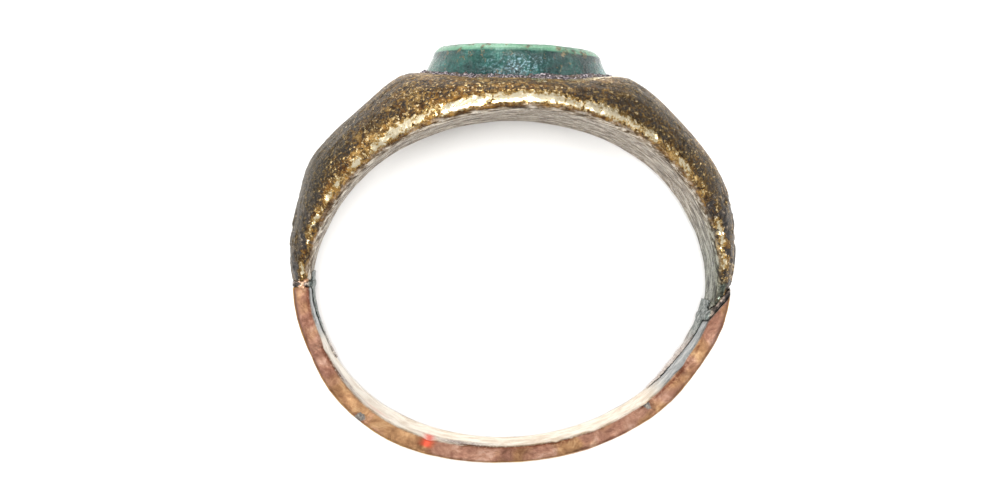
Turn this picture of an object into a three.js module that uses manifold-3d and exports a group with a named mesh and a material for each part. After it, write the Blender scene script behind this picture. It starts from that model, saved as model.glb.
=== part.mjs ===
// A Roman cast bronze finger ring: a broad bezel whose shoulders narrow down the hoop, a green glass
// intaglio cemented into the bezel, and a newer brass strip soldered in where the lower hoop was lost.
// Lengths are millimetres and angles degrees. The ring is shaped standing, x across the hoop, y up
// through the glass and z along the finger, and at the end it is laid on its side, as it lies when loose.
import * as THREE from "three";
import { mergeVertices } from "three/addons/utils/BufferGeometryUtils.js";
import Module from "manifold-3d";

const wasm = await Module();
wasm.setup();

// Finger hole: an oval whose long axis leans a little, the right end up.
const HOLE_WIDTH = 19.9;
const HOLE_HEIGHT = 16.15;
const HOLE_LEAN = 5.5;

// The hole is narrowed a little inside both shoulders.
const SHOULDER_SWELL = 0.12;
const SHOULDER_SWELL_ANGLE = 71;
const SHOULDER_SWELL_SPREAD = 16;

// Bronze hoop. Angles run from the middle of the bezel, clockwise seen from the front.
const BEZEL_FRONT_REACH = 5.46;
const BEZEL_BACK_REACH = 5.6;
const BEZEL_WALL = 1.97;
const LEFT_SHOULDER_WALL = 2.52;
const RIGHT_SHOULDER_WALL = 2.14;
const LEFT_END_ANGLE = 91.5;
const RIGHT_END_ANGLE = 98;
const TAPER_END_ANGLE = 96;
const FRONT_TAPER = 1.33;
const BACK_TAPER = 1.1;
const BEZEL_SQUARENESS = 2.4;
const JOINT_SQUARENESS = 2.0;
const INNER_ARRIS = 0.42;

// The right joint is a scarf: outside, the strip laps over the bronze by this length.
const RIGHT_SCARF = 1.3;
const SCARF_BLOCK = 7;

// Newer strip that closes the hoop.
const SHANK_WIDTH = 3.94;
const SHANK_END_WIDTH = 3.38;
const SHANK_WALL = 0.92;
const SHANK_CHAMFER = 0.09;
const SHANK_CROWN = 0.07;
const SHANK_SWELL_POWER = 0.8;

// Beside the joints the strip is straighter than the hole's oval.
const SHANK_FLAT = 0.12;
const SHANK_FLAT_TURN = 17;
const SHANK_FLAT_SPREAD = 9;

// The strip is twisted a little at the lower left, where its front edge stands out further than its back.
const SHANK_FLARE = 0.3;
const SHANK_FLARE_BACK = 0.1;
const SHANK_FLARE_ANGLE = 219;
const SHANK_FLARE_SPREAD = 24;

// Solder that joins the strip to the bronze and has run down its inner face. The run starts on the bronze,
// keeps to the back of the strip and narrows and thins to its tip.
const SOLDER_SEAM = 0.26;
const SOLDER_SKIN = 0.12;
const SOLDER_TIP_SKIN = 0.05;
const SOLDER_RUN_START = 0.5;
const SOLDER_RUN_LEFT = 4.2;
const SOLDER_RUN_RIGHT = 5.2;
const SOLDER_BACK_INSET = 0.12;
const SOLDER_FRONT_INSET = 0.3;
const SOLDER_TIP_WIDTH = 0.5;
const SOLDER_RUN_POWER = 0.7;

// Glass, and the seat cut for it in the bezel. The glass is widest at its foot, and above the bezel its
// wall leans in, by more at the right end than at the left.
const GLASS_LENGTH = 9.1;
const GLASS_WIDTH = 7.56;
const GLASS_THICKNESS = 2.46;
const GLASS_SHIFT = 0.06;
const GLASS_FOOT = 0.2;
const GLASS_LEAN = 0.2;
const GLASS_END_LEAN = 0.36;
const GLASS_LEFT_BEVEL = 0.6;
const GLASS_RIGHT_BEVEL = 0.8;
const GLASS_SIDE_BEVEL = 0.45;
const GLASS_BEVEL_DROP = 0.6;
const GLASS_FACE_FALL = 0.06;
const SEAT_WALL = 0.85;

// Cement round the glass, widest at two opposite corners.
const CEMENT_WIDTH = 0.3;
const CEMENT_SWING = 0.12;
const CEMENT_WIDEST_TURN = 45;
const CEMENT_DEPTH = 0.32;
const CEMENT_CLIMB = 0.14;
const CEMENT_KNEE = 0.45;
const CEMENT_KNEE_CLIMB = 0.03;
const CEMENT_SUNK = 0.05;

// Fullness of the glass's plan: pointed all round but for one full corner.
const OVAL_POINTED = 1.8;
const OVAL_FULL = 2.14;
const OVAL_FULL_TURN = 135;

// Space kept between pieces that touch, and the depth of the worn flats that the ring lies on.
const FIT_GAP = 0.02;
const REST_FLAT = 0.06;

// The wall between hole and crown, as [share of the way from bezel to joint, share of the way from the
// strip's wall to the shoulder's wall]. The flat top of the bezel cuts off what stands above it.
const LEFT_WALL_SHARES = [[0, 1.4], [0.33, 1.37], [0.45, 1.12], [0.57, 1.0], [0.67, 0.94], [0.77, 0.58],
  [0.88, 0.28], [1, 0.03]];
const RIGHT_WALL_SHARES = [[0, 1.6], [0.35, 1.52], [0.43, 1.25], [0.53, 1.02], [0.63, 0.92], [0.73, 0.65],
  [0.84, 0.29], [0.925, 0.05], [1, 0.03]];

// The carved figure, as strokes [right, up, radius, depth] to [right, up, radius, depth] on the face of the
// glass seen from the front, in millimetres. A figure stands to the left on a ground line, one arm bent and
// the other held out with a fall of cloth below it.
const HEAD = [[0.14, 2.46, 0.98, 0.36], [0.18, 2.36, 0.96, 0.36]];
const NECK = [[0.02, 1.9, 0.44, 0.28], [0.0, 1.5, 0.5, 0.3]];
const BENT_ARM = [[-0.34, 1.78, 0.5, 0.34], [-1.26, 1.36, 0.44, 0.3]];
const BENT_FOREARM = [[-1.26, 1.26, 0.42, 0.3], [-0.2, 1.02, 0.38, 0.28]];
const CHEST = [[0.02, 1.5, 0.64, 0.38], [-0.14, 0.76, 0.58, 0.38]];
const HIPS = [[-0.22, 0.66, 0.54, 0.36], [-0.72, 0.0, 0.54, 0.34]];
const HELD_ARM = [[0.4, 1.62, 0.34, 0.26], [1.4, 1.28, 0.27, 0.2]];
const CLOTH_UPPER = [[0.2, 1.06, 0.26, 0.26], [1.76, 0.76, 0.21, 0.18]];
const CLOTH_MIDDLE = [[0.24, 0.6, 0.2, 0.18], [1.1, 0.5, 0.18, 0.13]];
const CLOTH_LOWER = [[0.32, 0.12, 0.22, 0.2], [1.24, 0.26, 0.19, 0.16]];
const LEADING_THIGH = [[-0.7, 0.0, 0.52, 0.33], [-0.98, -0.6, 0.42, 0.28]];
const LEADING_SHIN = [[-0.98, -0.6, 0.4, 0.28], [-1.08, -2.2, 0.28, 0.16]];
const TRAILING_THIGH = [[-0.06, -0.2, 0.44, 0.24], [0.12, -1.04, 0.38, 0.26]];
const TRAILING_SHIN = [[0.14, -1.04, 0.36, 0.26], [0.42, -2.1, 0.26, 0.14]];
const STAFF_HOLLOW = [[1.06, -0.36, 0.34, 0.2], [0.86, -1.16, 0.22, 0.14]];
const GROUND_LINE = [[-1.4, -2.6, 0.2, 0.07], [1.1, -2.58, 0.2, 0.07]];
const FIGURE = [HEAD, NECK, BENT_ARM, BENT_FOREARM, CHEST, HIPS, HELD_ARM, CLOTH_UPPER, CLOTH_MIDDLE,
  CLOTH_LOWER, LEADING_THIGH, LEADING_SHIN, TRAILING_THIGH, TRAILING_SHIN, STAFF_HOLLOW, GROUND_LINE];

// How sharply strokes that cross run into one another.
const STROKE_BLEND = 4;

// How finely each piece is divided.
const HOOP_STEPS = 74;
const CROWN_STEPS = 6;
const ARRIS_STEPS = 2;
const SHANK_STEPS = 44;
const SOLDER_STEPS = 10;
const OVAL_STEPS = 72;
const FACE_RINGS = 17;
const BEVEL_STEPS = 4;
const SURFACE_TRIES = 8;

const { sin, cos, PI, abs, atan2, hypot, max, min } = Math;
const { clamp } = THREE.MathUtils;
const rad = THREE.MathUtils.degToRad;
const lerp = THREE.MathUtils.lerp;

// Solids from closed meshes, and back.
function toSolid(geometry) {
  const bare = geometry.clone();
  bare.deleteAttribute("normal");
  bare.deleteAttribute("uv");
  const merged = mergeVertices(bare, 1e-4);
  const triVerts = Uint32Array.from(merged.index.array);
  return new wasm.Manifold(
    new wasm.Mesh({ numProp: 3, vertProperties: merged.attributes.position.array, triVerts }),
  );
}

function toGeometry(solid) {
  const { numProp, vertProperties, triVerts } = solid.getMesh();
  const count = vertProperties.length / numProp;
  const positions = new Float32Array(count * 3);
  for (let i = 0; i < count; i++) {
    positions.set(vertProperties.subarray(i * numProp, i * numProp + 3), i * 3);
  }
  return new THREE.BufferGeometry()
    .setAttribute("position", new THREE.BufferAttribute(positions, 3))
    .setIndex(new THREE.BufferAttribute(triVerts, 1));
}

// A skin over rows of points, each row a closed loop. A closed run of rows joins its last row to its first,
// and an open one is shut at both ends by a fan about the row's middle.
function loft(rows, closed = false) {
  const size = rows[0].length;
  const points = rows.flat();
  const faces = [];
  const bands = closed ? rows.length : rows.length - 1;
  for (let i = 0; i < bands; i++) {
    const here = i * size;
    const next = ((i + 1) % rows.length) * size;
    for (let j = 0; j < size; j++) {
      const k = (j + 1) % size;
      faces.push(here + j, next + j, next + k, here + j, next + k, here + k);
    }
  }
  if (!closed) {
    const last = (rows.length - 1) * size;
    const [start, end] = [rows[0], rows[rows.length - 1]].map((row) => {
      const middle = row.reduce((sum, p) => sum.add(p), new THREE.Vector3()).divideScalar(size);
      return points.push(middle) - 1;
    });
    for (let j = 0; j < size; j++) {
      const k = (j + 1) % size;
      faces.push(start, j, k, end, last + k, last + j);
    }
  }
  return new THREE.BufferGeometry().setFromPoints(points).setIndex(faces);
}

// A smooth curve through [position, value] pairs.
function smoothThrough(pairs) {
  const positions = pairs.map((pair) => pair[0]);
  const values = pairs.map((pair) => pair[1]);
  const curve = new THREE.CubicInterpolant(positions, values, 1);
  return (position) => curve.evaluate(position)[0];
}

// Where the flat top of the bezel rounds into the shoulders.
const BEZEL_BLEND = 0.15;

function softMin(a, b, blend) {
  const share = max(blend - abs(a - b), 0) / blend;
  return min(a, b) - (share * share * blend) / 4;
}

// A point of the standing ring at an angle from the bezel's middle, a distance from the hole's middle and a
// place along the finger.
const ringPoint = (angle, radius, along) =>
  new THREE.Vector3(radius * sin(rad(angle)), radius * cos(rad(angle)), along);

// The turn round the hole that a length along its edge makes near the joints.
const jointTurn = (length) => THREE.MathUtils.radToDeg(length / (HOLE_WIDTH / 2));

// A smooth hump of height one round an angle.
const hump = (angle, middle, spread) => Math.exp(-(((angle - middle) / spread) ** 2));

// The hole's edge, and how much longer a radial cut through an even wall is than the wall.
function hole(angle) {
  const [s, c] = [sin(rad(angle + HOLE_LEAN)), cos(rad(angle + HOLE_LEAN))];
  const [a, b] = [HOLE_WIDTH / 2, HOLE_HEIGHT / 2];
  const inverse = (s / a) ** 2 + (c / b) ** 2;
  const slant = hypot(s / a ** 2, c / b ** 2) / inverse;
  const turned = angle > 180 ? angle - 360 : angle;
  const swell = SHOULDER_SWELL * hump(abs(turned), SHOULDER_SWELL_ANGLE, SHOULDER_SWELL_SPREAD)
    + SHANK_FLAT * hump(turned, RIGHT_END_ANGLE + SHANK_FLAT_TURN, SHANK_FLAT_SPREAD)
    + SHANK_FLAT * hump(turned, -LEFT_END_ANGLE - SHANK_FLAT_TURN, SHANK_FLAT_SPREAD);
  return { radius: 1 / Math.sqrt(inverse) - swell, slant };
}

// A block whose one side lies in the plane of the right joint, for a cut before (-1) or past (1) it. The
// plane passes the hole's edge at the joint and leans back over the bronze. A shift moves the cut down the
// hoop.
function scarfBlock(side, shift = 0) {
  const inner = ringPoint(RIGHT_END_ANGLE, hole(RIGHT_END_ANGLE).radius, 0);
  const lap = RIGHT_END_ANGLE - jointTurn(RIGHT_SCARF);
  const lean = ringPoint(lap, hole(lap).radius + SHANK_WALL, 0).sub(inner).normalize();
  const back = new THREE.Vector3(0, 0, -1);
  const down = back.clone().cross(lean);
  const block = new THREE.BoxGeometry(SCARF_BLOCK, SCARF_BLOCK, SCARF_BLOCK);
  block.translate(0, (side * SCARF_BLOCK) / 2 + shift, 0);
  block.applyMatrix4(new THREE.Matrix4().makeBasis(lean, down, back).setPosition(inner));
  return toSolid(block);
}

const bezelTop = hole(0).radius + BEZEL_WALL;
const leftWall = smoothThrough(LEFT_WALL_SHARES);
const rightWall = smoothThrough(RIGHT_WALL_SHARES);

// Distance of the crown of the bronze from the hole's middle.
function crown(angle) {
  const left = angle < 0;
  const share = abs(angle) / (left ? LEFT_END_ANGLE : RIGHT_END_ANGLE);
  const shoulder = left ? LEFT_SHOULDER_WALL : RIGHT_SHOULDER_WALL;
  const wall = lerp(SHANK_WALL, shoulder, (left ? leftWall : rightWall)(share));
  const { radius } = hole(angle);
  const flatTop = bezelTop / max(cos(rad(angle)), 0.1);
  return softMin(radius + wall, flatTop, BEZEL_BLEND);
}

// How far the bronze reaches along the finger to the front or the back: full at the bezel and narrowed to
// the strip at the joints.
function hoopReach(angle, side) {
  const fullness = max(cos(rad((90 * abs(angle)) / TAPER_END_ANGLE)), 0);
  const end = SHANK_END_WIDTH / 2;
  return side > 0
    ? lerp(end, BEZEL_FRONT_REACH, fullness ** FRONT_TAPER)
    : lerp(end, BEZEL_BACK_REACH, fullness ** BACK_TAPER);
}

// Fullness of the bronze's section: fuller than an ellipse at the bezel.
const hoopSquareness = (angle) =>
  lerp(JOINT_SQUARENESS, BEZEL_SQUARENESS, max(cos(rad((90 * angle) / TAPER_END_ANGLE)), 0));

// The outer surface of the bronze at a place along the finger, as a distance from the hole's middle.
function hoopSurface(angle, along) {
  const edge = hole(angle).radius + INNER_ARRIS;
  const reach = min(abs(along) / hoopReach(angle, along), 1);
  const power = hoopSquareness(angle);
  return edge + (crown(angle) - edge) * (1 - reach ** power) ** (1 / power);
}

// One section of the bronze: over the crown from front to back, round the back arris, along the hole and
// round the front arris.
function hoopSection(angle) {
  const inner = hole(angle).radius;
  const edge = inner + INNER_ARRIS;
  const power = 2 / hoopSquareness(angle);
  const halfSection = (side) => {
    const reach = hoopReach(angle, side);
    const points = [];
    for (let i = 1; i <= CROWN_STEPS; i++) {
      const turn = (PI / 2) * (i / CROWN_STEPS);
      const rise = (crown(angle) - edge) * max(cos(turn), 0) ** power;
      points.push([reach * sin(turn) ** power, edge + rise]);
    }
    for (let i = 1; i <= ARRIS_STEPS; i++) {
      const turn = (PI / 2) * (i / ARRIS_STEPS);
      points.push([reach - INNER_ARRIS * (1 - cos(turn)), edge - INNER_ARRIS * sin(turn)]);
    }
    points.push([reach / 2, inner]);
    return points.map(([along, radius]) => ringPoint(angle, radius, side * along));
  };
  return [...halfSection(1).reverse(), ringPoint(angle, crown(angle), 0), ...halfSection(-1)];
}

// The plan of the glass: a rather pointed oval with one full corner, grown or shrunk by a margin.
function ovalPoint(turn, margin) {
  const corner = max(cos(turn - rad(OVAL_FULL_TURN)), 0) ** 2;
  const power = 2 / lerp(OVAL_POINTED, OVAL_FULL, corner);
  const [c, s] = [cos(turn), sin(turn)];
  return {
    x: (GLASS_LENGTH / 2 + margin) * Math.sign(c) * abs(c) ** power,
    z: (GLASS_WIDTH / 2 + margin) * Math.sign(s) * abs(s) ** power,
  };
}

const turns = Array.from({ length: OVAL_STEPS }, (_, i) => (2 * PI * i) / OVAL_STEPS);

// A row round the glass. Margin and height are numbers, or functions of the turn and of the place.
function ovalRow(margin, height) {
  return turns.map((turn) => {
    const point = ovalPoint(turn, typeof margin === "function" ? margin(turn) : margin);
    const [x, z] = [point.x + GLASS_SHIFT, point.z];
    return new THREE.Vector3(x, typeof height === "function" ? height(x, z) : height, z);
  });
}

const cementReach = (turn) => CEMENT_WIDTH + CEMENT_SWING * cos(2 * (turn - rad(CEMENT_WIDEST_TURN)));

const seatFloor = hole(0).radius + SEAT_WALL;
const glassBase = seatFloor + FIT_GAP;
const glassTop = glassBase + GLASS_THICKNESS;
const cementFloor = hoopSurface(0, GLASS_WIDTH / 2 + CEMENT_WIDTH + CEMENT_SWING) - CEMENT_DEPTH;

// Height of the bezel's outer surface over a point of its plan.
function bezelHeight(x, z) {
  let height = bezelTop;
  for (let i = 0; i < SURFACE_TRIES; i++) {
    const angle = THREE.MathUtils.radToDeg(atan2(x, height));
    height = hoopSurface(angle, z) * cos(rad(angle));
  }
  return height;
}

// A prism of the glass's plan, from a floor up past the glass.
function seatCutter(margin, floor) {
  return toSolid(loft([ovalRow(margin, floor), ovalRow(margin, glassTop + 1)]));
}

function bronzeHoop() {
  const rows = [];
  for (let i = 0; i <= HOOP_STEPS; i++) {
    rows.push(hoopSection(lerp(-LEFT_END_ANGLE, RIGHT_END_ANGLE, i / HOOP_STEPS)));
  }
  return toSolid(loft(rows))
    .subtract(scarfBlock(1))
    .subtract(seatCutter(FIT_GAP, seatFloor))
    .subtract(seatCutter(cementReach, cementFloor));
}

// Depth of one stroke of the carving at a point of the glass's face: a round-bottomed cut with soft edges.
function strokeDepth([from, to], right, up) {
  const [dx, dy] = [to[0] - from[0], to[1] - from[1]];
  const length = dx * dx + dy * dy;
  const share = clamp(((right - from[0]) * dx + (up - from[1]) * dy) / length, 0, 1);
  const off = hypot(right - from[0] - dx * share, up - from[1] - dy * share);
  const reach = off / lerp(from[2], to[2], share);
  return reach < 1 ? lerp(from[3], to[3], share) * (1 - reach * reach) ** 2 : 0;
}

// Seen from the front of the glass, right is towards the back of the hoop and up is towards its left.
const carving = (x, z) =>
  FIGURE.reduce((sum, stroke) => sum + strokeDepth(stroke, -z, -x) ** STROKE_BLEND, 0) ** (1 / STROKE_BLEND);

// Height of the glass's face, which falls a little to the right end.
const faceHeight = (x) => glassTop - (GLASS_FACE_FALL * (1 + (2 * x) / GLASS_LENGTH)) / 2;

// How far the wall of the glass leans in, and how wide its rounded edge is, at a turn round its plan.
const leanWidth = (turn) => lerp(GLASS_LEAN, GLASS_END_LEAN, cos(turn) ** 2);
const bevelWidth = (turn) =>
  lerp(GLASS_SIDE_BEVEL, lerp(GLASS_LEFT_BEVEL, GLASS_RIGHT_BEVEL, (1 + cos(turn)) / 2), cos(turn) ** 2);

function glassIntaglio() {
  const rows = [];
  const rim = (x, z) => bezelHeight(x, z);
  rows.push(ovalRow(-GLASS_FOOT, glassBase), ovalRow(0, glassBase + GLASS_FOOT), ovalRow(0, rim));
  for (let i = 0; i <= BEVEL_STEPS; i++) {
    const turn = (PI / 2) * (i / BEVEL_STEPS);
    const margin = (around) => -leanWidth(around) - bevelWidth(around) * (1 - cos(turn));
    rows.push(ovalRow(margin, (x) => faceHeight(x) - GLASS_BEVEL_DROP * (1 - sin(turn))));
  }
  const edge = ovalRow((around) => -leanWidth(around) - bevelWidth(around), 0);
  for (let i = FACE_RINGS - 1; i > 0; i--) {
    const share = i / FACE_RINGS;
    rows.push(edge.map(({ x, z }) => {
      const [fx, fz] = [x * share, z * share];
      return new THREE.Vector3(fx, faceHeight(fx) - carving(fx, fz), fz);
    }));
  }
  return toSolid(loft(rows));
}

// Cement and corrosion that fill the seat round the glass, from the bronze's edge up the wall of the glass.
function settingCement() {
  const outside = (turn) => cementReach(turn) - FIT_GAP;
  const knee = (turn) => CEMENT_KNEE * cementReach(turn);
  const outline = [
    [FIT_GAP, () => cementFloor + FIT_GAP],
    [FIT_GAP, (x, z) => bezelHeight(x, z) + CEMENT_CLIMB],
    [knee, (x, z) => bezelHeight(x, z) + CEMENT_KNEE_CLIMB],
    [outside, (x, z) => bezelHeight(x, z) - CEMENT_SUNK],
    [outside, () => cementFloor + FIT_GAP],
  ];
  const sides = outline.map(([margin, height]) => ovalRow(margin, height));
  return toSolid(loft(turns.map((_, i) => sides.map((side) => side[i])), true));
}

// One section of the strip: a flat bar with small chamfers and a slightly crowned outer face.
function shankSection(angle, half, inner, outer) {
  const { radius, slant } = hole(angle);
  const bevel = SHANK_CHAMFER;
  const edge = outer - SHANK_CROWN;
  const side = [[0.5, outer - SHANK_CROWN / 4], [1, edge, bevel], [1, edge - bevel], [1, inner + bevel],
    [1, inner, bevel]];
  const flare = SHANK_FLARE * hump(angle, SHANK_FLARE_ANGLE, SHANK_FLARE_SPREAD);
  const place = ([share, depth, inset = 0], sign) => {
    const along = sign * (half * share - inset);
    const twist = lerp(SHANK_FLARE_BACK, 1, (along / half + 1) / 2);
    return ringPoint(angle, radius + depth * slant + flare * twist, along);
  };
  const front = side.map((p) => place(p, 1)).reverse();
  const back = side.map((p) => place(p, -1));
  return [...front, place([0, outer], 1), ...back];
}

const shankStart = RIGHT_END_ANGLE - jointTurn(RIGHT_SCARF + SHANK_WALL);
const shankEnd = 360 - LEFT_END_ANGLE - jointTurn(SOLDER_SEAM);

function replacementShank() {
  const rows = [];
  for (let i = 0; i <= SHANK_STEPS; i++) {
    const share = i / SHANK_STEPS;
    const half = lerp(SHANK_END_WIDTH, SHANK_WIDTH, sin(PI * share) ** SHANK_SWELL_POWER) / 2;
    rows.push(shankSection(lerp(shankStart, shankEnd, share), half, 0, SHANK_WALL));
  }
  return toSolid(loft(rows)).subtract(scarfBlock(-1, SOLDER_SEAM));
}

// One section of the solder's run, a low hump on the hole's wall from the strip's back to its front.
function runSection(angle, back, front, skin) {
  const { radius } = hole(angle);
  const profile = [[0, 0.8], [0.35, 1], [0.8, 0.7]];
  return [
    ringPoint(angle, radius - FIT_GAP, front),
    ringPoint(angle, radius - FIT_GAP, back),
    ...profile.map(([share, height]) => ringPoint(angle, radius - skin * height, lerp(back, front, share))),
  ];
}

// A length of solder as wide and thick as the strip's end, between two angles.
function solderBar(from, to) {
  return toSolid(loft([from, lerp(from, to, 0.5), to].map((angle) =>
    shankSection(angle, SHANK_END_WIDTH / 2 - FIT_GAP, -SOLDER_SKIN, SHANK_WALL - FIT_GAP))));
}

// The solder between bronze and strip at each joint.
function leftPlate() {
  const gap = jointTurn(FIT_GAP);
  return solderBar(-LEFT_END_ANGLE - jointTurn(SOLDER_SEAM) + gap, -LEFT_END_ANGLE - gap);
}

function rightPlate() {
  const bar = solderBar(shankStart, RIGHT_END_ANGLE + jointTurn(2 * SOLDER_SEAM));
  return bar.subtract(scarfBlock(-1, FIT_GAP)).subtract(scarfBlock(1, SOLDER_SEAM - FIT_GAP));
}

// A joint's solder, with its run that thins out down the strip's inner face.
function solderSeam(plate, joint, direction, run) {
  const rows = [];
  for (let i = 0; i <= SOLDER_STEPS; i++) {
    const share = i / SOLDER_STEPS;
    const angle = joint + direction * jointTurn(lerp(-SOLDER_RUN_START, run, share));
    const back = -SHANK_END_WIDTH / 2 + SOLDER_BACK_INSET;
    const wide = SHANK_END_WIDTH / 2 - SOLDER_FRONT_INSET;
    const front = lerp(wide, back + SOLDER_TIP_WIDTH, share ** SOLDER_RUN_POWER);
    rows.push(runSection(angle, back, front, lerp(SOLDER_SKIN, SOLDER_TIP_SKIN, share)));
  }
  if (direction < 0) rows.reverse();
  return plate.add(toSolid(loft(rows)));
}

// Height of the lowest point of a piece once the ring is tipped forward about x by a turn in radians.
function lowest(geometry, turn) {
  const place = geometry.getAttribute("position");
  let low = Infinity;
  for (let i = 0; i < place.count; i++) {
    low = min(low, place.getY(i) * sin(turn) + place.getZ(i) * cos(turn));
  }
  return low;
}

// The tip at which the back rim of the bezel and the back edge of the strip touch one floor.
function restingTurn(bezel, strip) {
  let [flat, steep] = [0, PI / 4];
  for (let i = 0; i < 40; i++) {
    const turn = (flat + steep) / 2;
    if (lowest(bezel, turn) < lowest(strip, turn)) flat = turn;
    else steep = turn;
  }
  return (flat + steep) / 2;
}

const hoop = bronzeHoop();
const shank = replacementShank();
const tip = restingTurn(toGeometry(hoop), toGeometry(shank));
const floor = lowest(toGeometry(hoop), tip) + REST_FLAT;
const floorBlock = new THREE.BoxGeometry(4 * HOLE_WIDTH, 4 * HOLE_WIDTH, HOLE_WIDTH);
floorBlock.translate(0, 0, floor - HOLE_WIDTH / 2).rotateX(-tip);
const worn = toSolid(floorBlock);

const bronze = new THREE.MeshStandardMaterial({ color: 0x8a6a2f, metalness: 0.9, roughness: 0.5 });
const glass = new THREE.MeshStandardMaterial({ color: 0x5f9e84, metalness: 0, roughness: 0.25 });
const cement = new THREE.MeshStandardMaterial({ color: 0x57504f, metalness: 0, roughness: 0.95 });
const brass = new THREE.MeshStandardMaterial({ color: 0xb98a4a, metalness: 0.95, roughness: 0.35 });
const solder = new THREE.MeshStandardMaterial({ color: 0x8f908a, metalness: 0.8, roughness: 0.55 });

const pieces = [
  ["bronze_hoop", hoop.subtract(worn), bronze],
  ["glass_intaglio", glassIntaglio(), glass],
  ["setting_cement", settingCement(), cement],
  ["replacement_shank", shank.subtract(worn), brass],
  ["solder_seam_left", solderSeam(leftPlate(), -LEFT_END_ANGLE, -1, SOLDER_RUN_LEFT), solder],
  ["solder_seam_right", solderSeam(rightPlate(), RIGHT_END_ANGLE, 1, SOLDER_RUN_RIGHT), solder],
];

const ring = new THREE.Group();
for (const [name, solid, material] of pieces) {
  const mesh = new THREE.Mesh(toGeometry(solid), material);
  mesh.name = name;
  ring.add(mesh);
}
ring.rotation.x = tip;

// The origin is on the floor, under the middle of the ring's box.
ring.updateMatrixWorld(true);
const box = new THREE.Box3().setFromObject(ring, true);
const middle = box.getCenter(new THREE.Vector3());
ring.position.set(-middle.x, -middle.y, -floor);

export default ring;
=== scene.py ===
"""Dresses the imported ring: an ancient bronze ring with a green glass intaglio and a newer brass strip."""

import logging
import math
from dataclasses import dataclass, field
from enum import Enum
from itertools import product

import bmesh
import bpy
import numpy as np
from mathutils import Matrix, Vector


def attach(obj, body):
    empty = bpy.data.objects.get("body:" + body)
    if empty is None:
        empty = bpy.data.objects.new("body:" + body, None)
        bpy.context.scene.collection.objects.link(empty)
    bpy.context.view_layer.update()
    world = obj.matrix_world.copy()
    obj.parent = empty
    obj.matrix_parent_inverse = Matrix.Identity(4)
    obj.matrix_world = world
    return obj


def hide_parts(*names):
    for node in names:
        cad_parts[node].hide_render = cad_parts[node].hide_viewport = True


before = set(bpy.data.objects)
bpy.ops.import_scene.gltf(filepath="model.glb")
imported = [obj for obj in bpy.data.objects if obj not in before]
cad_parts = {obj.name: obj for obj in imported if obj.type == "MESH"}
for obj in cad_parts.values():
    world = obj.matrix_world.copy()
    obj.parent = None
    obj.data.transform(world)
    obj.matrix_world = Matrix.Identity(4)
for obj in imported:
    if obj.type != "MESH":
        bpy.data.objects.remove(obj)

log = logging.getLogger("ring")

MM = 0.001
BODY = "root"

Array = np.ndarray


def linear(colour: str) -> tuple[float, float, float, float]:
    """Turns an sRGB hex colour into linear values.

    Args:
        colour: Six hex digits with a leading #.

    Returns:
        Linear red, green and blue, and an alpha of one.
    """
    parts = [int(colour[i:i + 2], 16) / 255 for i in (1, 3, 5)]
    red, green, blue = (p / 12.92 if p <= 0.04045 else ((p + 0.055) / 1.055) ** 2.4 for p in parts)
    return red, green, blue, 1.0


def smooth_step(low: float, high: float, value: Array) -> Array:
    """Rises smoothly from 0 at low to 1 at high.

    Args:
        low: The value that gives 0.
        high: The value that gives 1.
        value: Where the step is read.

    Returns:
        The step, of the same shape as value.
    """
    share = np.clip((value - low) / (high - low), 0.0, 1.0)
    return share * share * (3.0 - 2.0 * share)


def hump(value: Array, middle: float, spread: float) -> Array:
    """A smooth hump of height one.

    Args:
        value: Where the hump is read.
        middle: The place of its top.
        spread: The distance at which it has fallen to about a third.

    Returns:
        The hump, of the same shape as value.
    """
    return np.exp(-(((value - middle) / spread) ** 2))


@dataclass(frozen=True)
class Grain:
    """Seeded smooth noise in space.

    Attributes:
        seed: Picks one noise out of many.
    """

    seed: int

    def smooth(self, cells: Array) -> Array:
        """One octave of value noise.

        Args:
            cells: Points, one to a row, in units of the noise's cell.

        Returns:
            One value from -1 to 1 for each point.
        """
        source = np.random.default_rng(self.seed)
        count = 4096
        shuffle = source.permutation(count)
        levels = source.random(count) * 2.0 - 1.0
        base = np.floor(cells).astype(np.int64)
        part = cells - base
        part = part * part * (3.0 - 2.0 * part)
        total = np.zeros(len(cells))
        for corner in product((0, 1), repeat=3):
            weight = np.prod(np.where(corner, part, 1.0 - part), axis=1)
            key = np.zeros(len(cells), np.int64)
            for axis in range(3):
                key = shuffle[(key + base[:, axis] + corner[axis]) % count]
            total += weight * levels[key]
        return total

    def layered(self, points: Array, size: float, octaves: int = 3, keep: float = 0.5) -> Array:
        """Several octaves of value noise.

        Args:
            points: Points in millimetres, one to a row.
            size: The width of the coarsest features in millimetres.
            octaves: How many layers, each twice as fine as the last.
            keep: The share of its strength that each finer layer keeps.

        Returns:
            One value from about -1 to 1 for each point.
        """
        apart = 17.3
        total = np.zeros(len(points))
        strength = 1.0
        for octave in range(octaves):
            total += strength * self.smooth(points * (2.0 ** octave / size) + apart * octave)
            strength *= keep
        return total


@dataclass(frozen=True)
class RingAxes:
    """The ring's own axes, in which it stands: x across, y up through the glass, z along the finger.

    Attributes:
        tip: How far the lying ring is tipped about x, in degrees.
        middle: The middle of the finger hole in the row frame, in millimetres.
    """

    tip: float = 11.814
    middle: tuple[float, float, float] = (-0.0415, -1.3075, 3.6799)

    def to_row(self) -> Matrix:
        """The matrix from standing millimetres to the row frame in metres."""
        turned = Matrix.Translation(Vector(self.middle)) @ Matrix.Rotation(math.radians(self.tip), 4, "X")
        return Matrix.Scale(MM, 4) @ turned


AXES = RingAxes()
HOLE_HALF = (9.95, 8.075)
HOLE_LEAN = 5.5
GLASS_SHIFT = 0.06


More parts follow.
